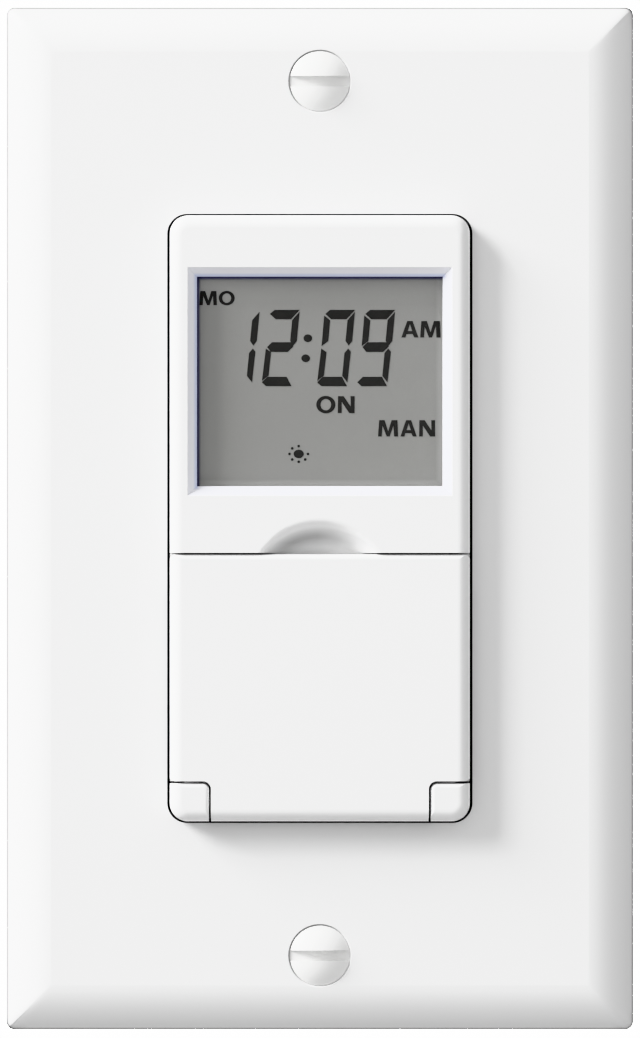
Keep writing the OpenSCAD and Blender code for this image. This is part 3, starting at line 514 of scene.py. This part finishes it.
def corner_lines(tree):
    """1 along the slanted lines where the plate's sloped sides meet."""
    across = less(tree, plate_high.x, apart(tree, "X"))
    upright = less(tree, plate_high.z, apart(tree, "Z"))
    near = ramp(tree, maths(tree, "ABSOLUTE", less(tree, across, upright)), 0, CORNER_LINE_WIDTH)
    outer = ramp(tree, maths(tree, "MINIMUM", across, upright), 0, CORNER_LINE_LENGTH)
    return product(tree, near, outer)


def screw_hole_shadow(tree):
    """How much painted shadow darkens the wall of a plate screw's hole: most on its upper left."""
    across = along(tree, "X")
    height = less(tree, apart(tree, "Z"), screw_height)
    near = ramp(tree, slanted(tree, across, height), screw_head_r, HOLE_REACH)
    deep = ramp(tree, along(tree, "Y"), plate_front, HOLE_DEPTH)
    upward = product(tree, height, maths(tree, "SIGN", along(tree, "Z")))
    upper_left = ramp(tree, less(tree, upward, across), 0, HOLE_UPPER_LEFT)
    return product(tree, near, deep, upper_left)


def plate_plastic():
    """White plate with soft corner lines, painted shade on the walls of the gap and along its outer edge,
    and painted shadow in its screw holes.
    """
    made, tree, shader, tone = moulded("plate_plastic")
    wall = ramp(tree, past_box(tree, face_half_w, face_half_h, 0), 0, GAP_PLATE_WALL)
    # Painted shade on the walls of the gap round the face
    tone = tint(tree, tone, gap_shade_mask(tree, wall), PAINTED_GAP_SHADE)
    # Painted shade along the plate's outer edge, most on its top and left
    tone = tint(tree, tone, plate_rim_shade(tree), RIM_SHADE)
    # Painted shadow on the upper left of the screw holes
    tone = tint(tree, tone, screw_hole_shadow(tree), HOLE_SHADOW)
    feed(tree, shader, {"Base Color": tone})
    radius = spread(tree, corner_lines(tree), 0, CORNER_LINE_R * MM)
    softened = add(tree, "ShaderNodeBevel", {"Radius": radius}, samples=CORNER_LINE_SAMPLES)
    bumps = shader.inputs["Normal"].links[0].from_node
    feed(tree, bumps, {"Normal": softened.outputs["Normal"]})
    return made


def window_tints(tree, tone):
    """The face's tone with a painted cool reflection lightening the chamfer round the window and a painted
    blue reflection on the lip at its left and top.
    """
    outside = past_box(tree, window_half_w, window_half_h, window_middle)
    below = ramp(tree, along(tree, "Y"), face_front, CHAMFER_DEPTH)
    chamfer = product(tree, ramp(tree, outside, 0, CHAMFER_WIDTH), below)
    left = ramp(tree, along(tree, "X"), -window_half_w, LIP_SIDES)
    top = ramp(tree, along(tree, "Z"), window_top, LIP_SIDES, -1)
    lip = product(tree, ramp(tree, outside, 0, LIP_WIDTH), larger(tree, left, top))
    # Painted cool reflection lightening the chamfer, and painted blue reflection on the lip
    return tint(tree, tint(tree, tone, chamfer, CHAMFER_REFLECTION), lip, LIP_REFLECTION)


def side_tints(tree, tone):
    """The face's tone with painted shade at the foot and a thin painted highlight on its side walls, and
    painted shade in the gap.
    """
    edge = past_box(tree, face_half_w, face_half_h, 0)
    wall = ramp(tree, edge, 0, GAP_FACE_WALL)
    depth = along(tree, "Y")
    foot = ramp(tree, depth, plate_front, FOOT_HEIGHT, -1)
    # Painted shade at the foot of the side walls
    tone = tint(tree, tone, product(tree, wall, foot), FOOT_SHADE)
    under = ramp(tree, depth, face_front, HIGHLIGHT_LINE_UNDER_FACE)
    over = ramp(tree, depth, plate_front, HIGHLIGHT_LINE_OVER_PLATE, -1)
    highlight_line = product(tree, ramp(tree, edge, 0, HIGHLIGHT_LINE_WIDTH), under, over)
    # Thin painted highlight along the edge of the side walls
    tone = tint(tree, tone, highlight_line, EDGE_HIGHLIGHT)
    # Painted shade in the gap round the face
    return tint(tree, tone, gap_shade_mask(tree, wall), PAINTED_GAP_SHADE)


def face_plastic():
    """White face with painted reflection round its window, painted shade and light in its thumb scoop,
    painted shade in its hinge slots and gap, and painted shade and a painted highlight on its side walls.
    """
    made, tree, shader, tone = moulded("face_plastic")
    tone = window_tints(tree, tone)
    # Painted shade on the thumb scoop's wall
    tone = tint(tree, tone, scoop_wall_shade(tree), SCOOP_SHADE)
    # Painted light on the thumb scoop's floor
    tone = tint(tree, tone, scoop_floor_light(tree), SCOOP_FLOOR_LIGHT)
    # Painted shade in the hinge slots
    tone = tint(tree, tone, hinge_slot_shade(tree), PAINTED_GAP_SHADE)
    feed(tree, shader, {"Base Color": side_tints(tree, tone)})
    return made


def lens_clear():
    """Clear window: light goes straight through, with a faint gloss on its face."""
    made, tree, shader = new_material("lens_clear")
    tree.nodes.remove(shader)
    through = add(tree, "ShaderNodeBsdfTransparent", {"Color": opaque(LENS_CLEAR)})
    wear = spread(tree, noise(tree, LENS_WEAR_SIZE, GRAIN_DETAIL), *LENS_WEAR)
    gloss = add(tree, "ShaderNodeBsdfGlossy", {"Roughness": wear, "Color": (1, 1, 1, 1)})
    tilt = add(tree, "ShaderNodeLayerWeight", {"Blend": LENS_TILT}).outputs["Facing"]
    shine = spread(tree, maths(tree, "POWER", tilt, LENS_FALL_OFF), *LENS_SHINE)
    mix = add(tree, "ShaderNodeMixShader", {0: shine, 1: through.outputs[0], 2: gloss.outputs[0]})
    feed(tree, tree.nodes["Material Output"], {"Surface": mix.outputs[0]})
    return made


def display_glass():
    """Grey face of the display over its reflector, with painted shadow along its top and left, painted
    light along its right and lower edge and painted light on its upper part.
    """
    made, tree, shader, tone = moulded("display_glass")
    across, height = along(tree, "X"), along(tree, "Z")
    right = ramp(tree, across, window_half_w, LCD_LIT_EDGE, -1)
    low = ramp(tree, height, window_low, LCD_LIT_EDGE)
    # Painted light along the display's right and lower edge
    tone = blend_colours(tree, spread(tree, larger(tree, right, low), 0, LCD_LIT_SHARE), tone, WHITE)
    # Painted light on the display's upper part
    tone = tint(tree, tone, ramp(tree, height, window_top, LCD_UPPER_PART, -1), LCD_UPPER_LIGHT)
    left = ramp(tree, across, -window_half_w, LCD_SHADOW_EDGE)
    top = ramp(tree, height, window_top, LCD_SHADOW_EDGE, -1)
    # Painted shadow along the display's left and top edge
    tone = tint(tree, tone, larger(tree, left, top), LCD_EDGE_SHADOW)
    feed(tree, shader, {"Base Color": tone, "Metallic": LCD_METAL, "Specular IOR Level": LCD_SHINE})
    return made


def contact_rubber():
    """Layered contact strip: thin dark layers in soft pink rubber."""
    made, tree, shader = new_material("contact_rubber")
    inputs = {"Vector": place_on(tree), "Scale": 1 / (LAYER_PITCH * MM), "Distortion": LAYER_WAVER}
    layers = add(tree, "ShaderNodeTexWave", inputs, bands_direction="X").outputs["Fac"]
    tone = blend_colours(tree, layers, LAYER_DARK, LAYER_PINK)
    feed(tree, shader, {"Base Color": tone, "Roughness": RUBBER_ROUGHNESS})
    relief(tree, shader, layers, LAYER_DEPTH)
    return made


def board_green():
    """Solder mask with copper tracks showing through and tinned pads."""
    made, tree, shader = new_material("board_green")
    tracks = {"Vector": place_on(tree), "Scale": 1 / (TRACK_PITCH * MM), "Randomness": TRACK_WANDER}
    cells = add(tree, "ShaderNodeTexVoronoi", tracks, feature="DISTANCE_TO_EDGE").outputs["Distance"]
    mask = blend_colours(tree, step(tree, cells, *TRACK_EDGE), MASK_DARK, MASK_PALE)
    pads = {"Vector": place_on(tree), "Scale": 1 / (PAD_PITCH * MM), "Randomness": 0.0}
    spots = add(tree, "ShaderNodeTexVoronoi", pads, feature="F1").outputs["Distance"]
    tone = blend_colours(tree, step(tree, spots, *PAD_EDGE), mask, PAD_TIN)
    worn = spread(tree, noise(tree, MASK_WEAR_SIZE), *MASK_WEAR)
    feed(tree, shader, {"Base Color": tone, "Roughness": worn})
    relief(tree, shader, cells, TRACK_DEPTH)
    return made


def sleeve_navy():
    """Shrink sleeve with one pale stripe."""
    made, tree, shader, tone = moulded("sleeve_navy")
    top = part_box("smoothing_capacitors")[1].z
    stripe = ramp(tree, along(tree, "Z"), top, STRIPE_UNDER_TOP, -1)
    feed(tree, shader, {"Base Color": blend_colours(tree, stripe, tone, STRIPE_PALE)})
    return made


def ink(name):
    """Printed or liquid-crystal ink, not quite even and with little shine."""
    made, tree, shader, _ = moulded(name)
    feed(tree, shader, {"Specular IOR Level": INK_SHINE})
    return made


finish = {
    "plate_plastic": plate_plastic(),
    "face_plastic": face_plastic(),
    "lens_clear": lens_clear(),
    "display_glass": display_glass(),
    "contact_rubber": contact_rubber(),
    "board_green": board_green(),
    "sleeve_navy": sleeve_navy(),
    "segment_ink": ink("segment_ink"),
    "key_ink": ink("key_ink"),
}
for name in MOULDINGS:
    if name not in finish:
        finish[name] = moulded(name)[0]
for name in METALS:
    finish[name] = plated(name)

for entry in frame["record"]["subparts"]:
    node_mesh = nodes[entry["node"]].data
    node_mesh.materials.clear()
    node_mesh.materials.append(finish[entry["material_slot"]])


def keep(name, mesh, body, look):
    """The finished piece: a mesh at its own place, riding on a body of the part."""
    mesh.materials.clear()
    mesh.materials.append(look)
    piece = bpy.data.objects.new(name, mesh)
    bpy.context.scene.collection.objects.link(piece)
    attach(piece, body)


def mesh_of(name, shape):
    """A closed mesh from a bmesh, its faces turned outwards."""
    bmesh.ops.recalc_face_normals(shape, faces=shape.faces)
    made = bpy.data.meshes.new(name)
    shape.to_mesh(made)
    shape.free()
    return made


def add_ink(shape, outline, front):
    """A flat closed piece of ink: outline in millimetres across and up, front in metres."""
    near = [shape.verts.new((x * MM, front, z * MM)) for x, z in outline]
    far = [shape.verts.new((x * MM, front + INK_T * MM, z * MM)) for x, z in outline]
    shape.faces.new(near)
    shape.faces.new(reversed(far))
    for n in range(len(outline)):
        nxt = (n + 1) % len(outline)
        shape.faces.new((near[n], far[n], far[nxt], near[nxt]))


def oval(middle, radii, points=OVAL_POINTS):
    """Outline of an ellipse."""
    turns = [2 * math.pi * n / points for n in range(points)]
    return [(middle[0] + radii[0] * math.cos(a), middle[1] + radii[1] * math.sin(a)) for a in turns]


def segment(name):
    """Outline of one of a digit's seven bars, upright, from the digit's lower left corner."""
    w, h, m, bar, stroke = DIGIT_W, DIGIT_H, DIGIT_MID, DIGIT_BAR, DIGIT_STROKE
    return {
        "a": [(0.12, h - 0.45), (0.61, h), (w, h), (w - 0.86, h - bar), (0.82, h - bar)],
        "b": [(w, h - 0.2), (w, m + 0.66), (w - 0.35, m + 0.15), (w - stroke, m + 0.68),
              (w - stroke, h - bar - 0.1)],
        "c": [(w - 0.36, m - 0.15), (w - 0.04, m - 0.52), (w - 0.1, 0.4), (w - stroke, bar + 0.1),
              (w - stroke, m - 0.66)],
        "d": [(-0.06, 0.43), (0.5, bar), (w - 0.76, bar), (w - 0.11, 0), (0.44, 0)],
        "e": [(0.04, m - 0.15), (0.66, m - 0.56), (0.62, bar + 0.14), (-0.06, 0.58)],
        "f": [(0.02, h - 0.62), (stroke, h - bar - 0.12), (stroke, m + 0.66), (0.05, m + 0.11)],
        "g": [(0.15, m), (0.65, m + 0.54), (w - 0.6, m + 0.54), (w - 0.31, m + 0.07), (w - 0.9, m - 0.54),
              (0.62, m - 0.54)],
    }[name]


def clock_digits(front):
    """The time: slanted seven-bar digits and a colon."""
    shape = bmesh.new()
    for bars, left in DIGITS:
        for bar in bars:
            add_ink(shape, [(left + x + z * DIGIT_SLANT, DIGIT_LOW + z) for x, z in segment(bar)], front)
    for middle in COLON_DOTS:
        add_ink(shape, oval(middle, COLON_DOT), front)
    return mesh_of("clock_digits", shape)


def letter(name):
    """Outlines of a bold capital in a box of width and height 1, with its hole after its outside."""
    return {
        "M": [[(0, 0), (0.056, 1), (0.329, 1), (0.507, 0.32), (0.677, 1), (0.968, 1), (1, 0), (0.80, 0),
               (0.77, 0.67), (0.583, 0), (0.432, 0), (0.222, 0.65), (0.188, 0)]],
        "N": [[(0, 0), (0.017, 1), (0.347, 1), (0.769, 0.38), (0.757, 1), (1, 1), (1, 0), (0.682, 0),
               (0.237, 0.66), (0.237, 0)]],
        "A": [[(0, 0), (0.344, 1), (0.656, 1), (1, 0), (0.756, 0), (0.66, 0.205), (0.305, 0.205),
               (0.244, 0)], [(0.504, 0.80), (0.378, 0.395), (0.633, 0.395)]],
        "O": [oval((0.5, 0.5), (0.5, 0.515), BOW_POINTS), oval((0.5, 0.5), (0.276, 0.335), BOW_POINTS)],
    }[name]


def plain_mesh(holder):
    """The mesh that an object's curve or modifier makes; the object itself is removed."""
    bpy.context.scene.collection.objects.link(holder)
    made = bpy.data.meshes.new_from_object(holder.evaluated_get(bpy.context.evaluated_depsgraph_get()))
    holder.modifiers.clear()
    bpy.data.objects.remove(holder)
    return made


def legend(name, low, high, letters, front):
    """One word of the display, each letter fitted between its sides."""
    drawn = bpy.data.curves.new(name, "CURVE")
    drawn.dimensions = "2D"
    drawn.fill_mode = "BOTH"
    drawn.extrude = INK_T * MM / 2
    for glyph, left, right in letters:
        for outline in letter(glyph):
            spline = drawn.splines.new("POLY")
            spline.points.add(len(outline) - 1)
            spline.use_cyclic_u = True
            for point, (u, v) in zip(spline.points, outline):
                point.co = ((left + u * (right - left)) * MM, (low + v * (high - low)) * MM, 0, 1)
    shape = bmesh.new()
    shape.from_mesh(plain_mesh(bpy.data.objects.new(name, drawn)))
    bmesh.ops.remove_doubles(shape, verts=shape.verts, dist=1e-7)
    for vert in shape.verts:
        vert.co = (vert.co.x, front + INK_T * MM / 2 - vert.co.z, vert.co.y)
    return mesh_of(name, shape)


def node_tree(name, inputs):
    """A Geometry Nodes tree with named inputs, its input node and its output node."""
    tree = bpy.data.node_groups.new(name, "GeometryNodeTree")
    tree.interface.new_socket("Geometry", in_out="OUTPUT", socket_type="NodeSocketGeometry")
    for label, kind in inputs:
        tree.interface.new_socket(label, in_out="INPUT", socket_type=kind)
    return tree, tree.nodes.new("NodeGroupInput"), tree.nodes.new("NodeGroupOutput")


def end_tree(tree, copies, look, result):
    """Ends a tree: its copies become real mesh with a material."""
    real = add(tree, "GeometryNodeRealizeInstances", {"Geometry": copies}).outputs["Geometry"]
    dressed = add(tree, "GeometryNodeSetMaterial", {"Geometry": real, "Material": look}).outputs["Geometry"]
    feed(tree, result, {"Geometry": dressed})
    return tree


def grow(name, tree, values):
    """Runs a tree with its inputs set by identifier, and gives the plain mesh it makes."""
    holder = bpy.data.objects.new(name, bpy.data.meshes.new(name))
    modifier = holder.modifiers.new(name, "NODES")
    modifier.node_group = tree
    for item in tree.interface.items_tree:
        if item.in_out == "INPUT":
            modifier[item.identifier] = values[item.name]
    made = plain_mesh(holder)
    made.name = name
    return made


def thread_tree():
    """Screw threads: one ridge wound round a shank, repeated along a row of screws."""
    inputs = (
        ("Shank Radius", "NodeSocketFloat"),
        ("Pitch", "NodeSocketFloat"),
        ("Length", "NodeSocketFloat"),
        ("Ridge", "NodeSocketFloat"),
        ("Tilt", "NodeSocketRotation"),
        ("First Screw", "NodeSocketVector"),
        ("Screw Step", "NodeSocketVector"),
        ("Screws", "NodeSocketInt"),
        ("Finish", "NodeSocketMaterial"),
    )
    tree, given, result = node_tree("screw_threads", inputs)
    value = given.outputs
    turns = maths(tree, "DIVIDE", value["Length"], value["Pitch"])
    wound = {"Rotations": turns, "Start Radius": value["Shank Radius"], "End Radius": value["Shank Radius"],
             "Height": value["Length"], "Resolution": TURN_POINTS}
    helix = add(tree, "GeometryNodeCurveSpiral", wound).outputs["Curve"]
    round_edge = {"Radius": value["Ridge"], "Resolution": RIDGE_POINTS}
    ridge = add(tree, "GeometryNodeCurvePrimitiveCircle", round_edge).outputs["Curve"]
    sweep = {"Curve": helix, "Profile Curve": ridge, "Fill Caps": True}
    swept = add(tree, "GeometryNodeCurveToMesh", sweep).outputs["Mesh"]
    row = {"Count": value["Screws"], "Start Location": value["First Screw"], "Offset": value["Screw Step"]}
    spots = add(tree, "GeometryNodeMeshLine", row).outputs["Mesh"]
    placed = {"Points": spots, "Instance": swept, "Rotation": value["Tilt"]}
    screws = add(tree, "GeometryNodeInstanceOnPoints", placed).outputs["Instances"]
    return end_tree(tree, screws, value["Finish"], result)


def dot_tree():
    """Round flat dots in a row or round a ring, with one left out."""
    inputs = (
        ("Dot Radius", "NodeSocketFloat"),
        ("Dot Height", "NodeSocketFloat"),
        ("Middle", "NodeSocketVector"),
        ("Ring", "NodeSocketVector"),
        ("Row Step", "NodeSocketVector"),
        ("Dots", "NodeSocketInt"),
        ("Left Out", "NodeSocketInt"),
        ("Finish", "NodeSocketMaterial"),
    )
    tree, given, result = node_tree("dots", inputs)
    value = given.outputs
    row = {"Count": value["Dots"], "Offset": value["Row Step"], "Start Location": value["Middle"]}
    spots = add(tree, "GeometryNodeMeshLine", row).outputs["Mesh"]
    count = add(tree, "GeometryNodeInputIndex").outputs["Index"]
    angle = maths(tree, "MULTIPLY", maths(tree, "DIVIDE", count, value["Dots"]), 2 * math.pi)
    across = maths(tree, "COSINE", angle)
    up = maths(tree, "SINE", angle)
    way = add(tree, "ShaderNodeCombineXYZ", {"X": across, "Z": up}).outputs["Vector"]
    out = add(tree, "ShaderNodeVectorMath", {0: way, 1: value["Ring"]}, operation="MULTIPLY").outputs[0]
    ringed = add(tree, "GeometryNodeSetPosition", {"Geometry": spots, "Offset": out}).outputs["Geometry"]
    disc = {"Vertices": DOT_POINTS, "Radius": value["Dot Radius"], "Depth": value["Dot Height"]}
    dot = add(tree, "GeometryNodeMeshCylinder", disc).outputs["Mesh"]
    pair = {2: count, 3: value["Left Out"]}
    kept = add(tree, "FunctionNodeCompare", pair, data_type="INT", operation="NOT_EQUAL")
    facing = add(tree, "FunctionNodeEulerToRotation", {"Euler": (math.pi / 2, 0, 0)}).outputs["Rotation"]
    placed = {"Points": ringed, "Selection": kept.outputs["Result"], "Instance": dot, "Rotation": facing}
    dots = add(tree, "GeometryNodeInstanceOnPoints", placed).outputs["Instances"]
    return end_tree(tree, dots, value["Finish"], result)


threads = thread_tree()
dots = dot_tree()
segment_ink = finish["segment_ink"]
key_ink = finish["key_ink"]
display_front = glass_front - INK_LIFT * MM

# Marks of the display
keep("clock_digits", clock_digits(display_front), "timer_body", segment_ink)
for word, (low, high, letters) in LEGENDS.items():
    word_mesh = legend("legend_" + word, low, high, letters, display_front)
    keep("legend_" + word, word_mesh, "timer_body", segment_ink)

sun = bmesh.new()
add_ink(sun, oval(SUN_AT, SUN_DISC), display_front)
keep("sun_disc", mesh_of("sun_disc", sun), "timer_body", segment_ink)
sun_rays = grow("sun_rays", dots, {
    "Dot Radius": SUN_DOT * MM,
    "Dot Height": INK_T * MM,
    "Middle": (SUN_AT[0] * MM, display_front + INK_T * MM / 2, SUN_AT[1] * MM),
    "Ring": (SUN_RING[0] * MM, 0.0, SUN_RING[1] * MM),
    "Row Step": (0.0, 0.0, 0.0),
    "Dots": SUN_RAYS,
    "Left Out": SUN_GAP_RAY,
    "Finish": segment_ink,
})
keep("sun_rays", sun_rays, "timer_body", segment_ink)

# Threads of the plate screws and of the ground screw
plate_thread = grow("plate_screw_threads", threads, {
    "Shank Radius": PLATE_SHANK_R * MM,
    "Pitch": PLATE_THREAD_PITCH * MM,
    "Length": screws_high.y - (THREAD_END_GAP + PLATE_THREAD_START) * MM,
    "Ridge": THREAD_RIDGE * MM,
    "Tilt": (-math.pi / 2, 0, 0),
    "First Screw": (0.0, PLATE_THREAD_START * MM, screws_low.z + screw_head_r),
    "Screw Step": (0.0, 0.0, screws_high.z - screws_low.z - 2 * screw_head_r),
    "Screws": 2,
    "Finish": finish["bright_metal"],
})
keep("plate_screw_threads", plate_thread, "timer_body", finish["bright_metal"])

ground_middle = (ground_low + ground_high) / 2
ground_thread = grow("ground_screw_thread", threads, {
    "Shank Radius": GROUND_SHANK_R * MM,
    "Pitch": GROUND_THREAD_PITCH * MM,
    "Length": GROUND_THREAD_L * MM,
    "Ridge": THREAD_RIDGE * MM,
    "Tilt": (math.pi, 0, 0),
    "First Screw": (ground_middle.x, ground_middle.y, ground_high.z - THREAD_END_GAP * MM),
    "Screw Step": (0.0, 0.0, 0.0),
    "Screws": 1,
    "Finish": finish["ground_green"],
})
keep("ground_screw_thread", ground_thread, "timer_body", finish["ground_green"])


def key_middle(key):
    """Middle of a key's face in millimetres across and up, and the front of ink on it in metres."""
    low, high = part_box(key)
    return (low.x + high.x) / 2 / MM, (low.z + high.z) / 2 / MM, low.y - INK_T * MM


def sign_mark(key, outline):
    """A sign on a key, its outline in millimetres from the key's middle."""
    x, z, front = key_middle(key)
    shape = bmesh.new()
    add_ink(shape, [(x + u, z + v) for u, v in outline], front)
    return mesh_of(key + "_mark", shape)


def cross_outline(a, b):
    """Outline of two crossed bars, from half their stroke and half their span."""
    return [(-b, -a), (-a, -a), (-a, -b), (a, -b), (a, -a), (b, -a), (b, a), (a, a), (a, b), (-a, b),
            (-a, a), (-b, a)]


def bar_outline(a, b):
    """Outline of one level bar with round ends, from half its stroke and half its span."""
    left, right = oval((a - b, 0), (a, a)), oval((b - a, 0), (a, a))
    quarter = OVAL_POINTS // 4
    return left[quarter:3 * quarter + 1] + right[3 * quarter:] + right[:quarter + 1]


def dot_mark(key, dot_r, count, pitch, ring):
    """A row or a ring of dots on a key."""
    x, z, front = key_middle(key)
    return grow(key + "_mark", dots, {
        "Dot Radius": dot_r * MM,
        "Dot Height": INK_T * MM,
        "Middle": ((x - pitch * (count - 1) / 2) * MM, front + INK_T * MM / 2, z * MM),
        "Ring": (ring * MM, 0.0, ring * MM),
        "Row Step": (pitch * MM, 0.0, 0.0),
        "Dots": count,
        "Left Out": count,
        "Finish": key_ink,
    })


key_marks = {
    "plus_key": sign_mark("plus_key", cross_outline(MARK_STROKE / 2, MARK_SPAN / 2)),
    "minus_key": sign_mark("minus_key", bar_outline(MARK_STROKE / 2, MARK_SPAN / 2)),
    "day_key": dot_mark("day_key", DAY_DOT_R, DAY_DOTS, DAY_DOT_PITCH, 0.0),
    "mode_key": dot_mark("mode_key", CLOCK_DOT_R, CLOCK_DOTS, 0.0, CLOCK_RING_R),
}
for key, mark in key_marks.items():
    keep(key + "_mark", mark, key, key_ink)


def straight_camera():
    """Camera at the photograph's straight view."""
    data = bpy.data.cameras.new("camera")
    data.lens = LENS_MM
    data.sensor_width = SENSOR_MM
    data.clip_end = VIEW_END
    camera = bpy.data.objects.new("camera", data)
    bpy.context.scene.collection.objects.link(camera)
    reach = IMAGE_H * MM_PER_PIXEL * MM * LENS_MM / SENSOR_MM
    camera.location = (FRAME_MIDDLE[0] * MM, plate_front - reach, FRAME_MIDDLE[1] * MM)
    camera.rotation_euler = (math.pi / 2, 0, 0)
    bpy.context.scene.camera = camera


def softbox(name, way, reach, size, power):
    """A square soft light that looks at the part."""
    data = bpy.data.lights.new(name, "AREA")
    data.size = size
    data.energy = power
    lamp = bpy.data.objects.new(name, data)
    lamp.location = way * reach
    lamp.rotation_mode = "QUATERNION"
    lamp.rotation_quaternion = way.to_track_quat("Z", "Y")
    lamp.visible_camera = False
    bpy.context.scene.collection.objects.link(lamp)


def bright_room():
    """Soft light from all round, most from the front, behind a white backdrop."""
    world = bpy.data.worlds.new("room")
    world.use_nodes = True
    bpy.context.scene.world = world
    room = world.node_tree
    outward = add(room, "ShaderNodeTexCoord").outputs["Generated"]
    depth = add(room, "ShaderNodeSeparateXYZ", {"Vector": outward}).outputs["Y"]
    bright = product(room, step(room, depth, *BRIGHT_FROM), step(room, depth, *BRIGHT_TO))
    light = room.nodes["Background"]
    feed(room, light, {"Color": (1, 1, 1, 1), "Strength": spread(room, bright, BACK_ROOM, FRONT_ROOM)})
    backdrop = add(room, "ShaderNodeBackground", {"Color": (1, 1, 1, 1), "Strength": BACKDROP})
    seen = add(room, "ShaderNodeLightPath").outputs["Is Camera Ray"]
    sky = add(room, "ShaderNodeMixShader", {0: seen, 1: light.outputs[0], 2: backdrop.outputs[0]})
    feed(room, room.nodes["World Output"], {"Surface": sky.outputs[0]})


def pale_floor():
    """A round floor below the picture that takes shadows but throws no light back up."""
    shape = bmesh.new()
    bmesh.ops.create_circle(shape, cap_ends=True, segments=FLOOR_POINTS, radius=FLOOR_R * MM)
    bmesh.ops.translate(shape, verts=shape.verts, vec=(0, 0, FLOOR_Z * MM))
    made = bpy.data.meshes.new("floor")
    shape.to_mesh(made)
    shape.free()
    made.materials.append(finish["floor_paint"])
    floor = bpy.data.objects.new("floor", made)
    bpy.context.scene.collection.objects.link(floor)
    floor.visible_diffuse = False
    floor.visible_glossy = False


straight_camera()
bpy.context.scene.view_settings.view_transform = "Khronos PBR Neutral"
softbox("key_light", KEY_WAY, KEY_REACH, KEY_SIZE, KEY_POWER)
softbox("back_light", BACK_WAY, BACK_REACH, BACK_SIZE, BACK_POWER)
bright_room()
pale_floor()
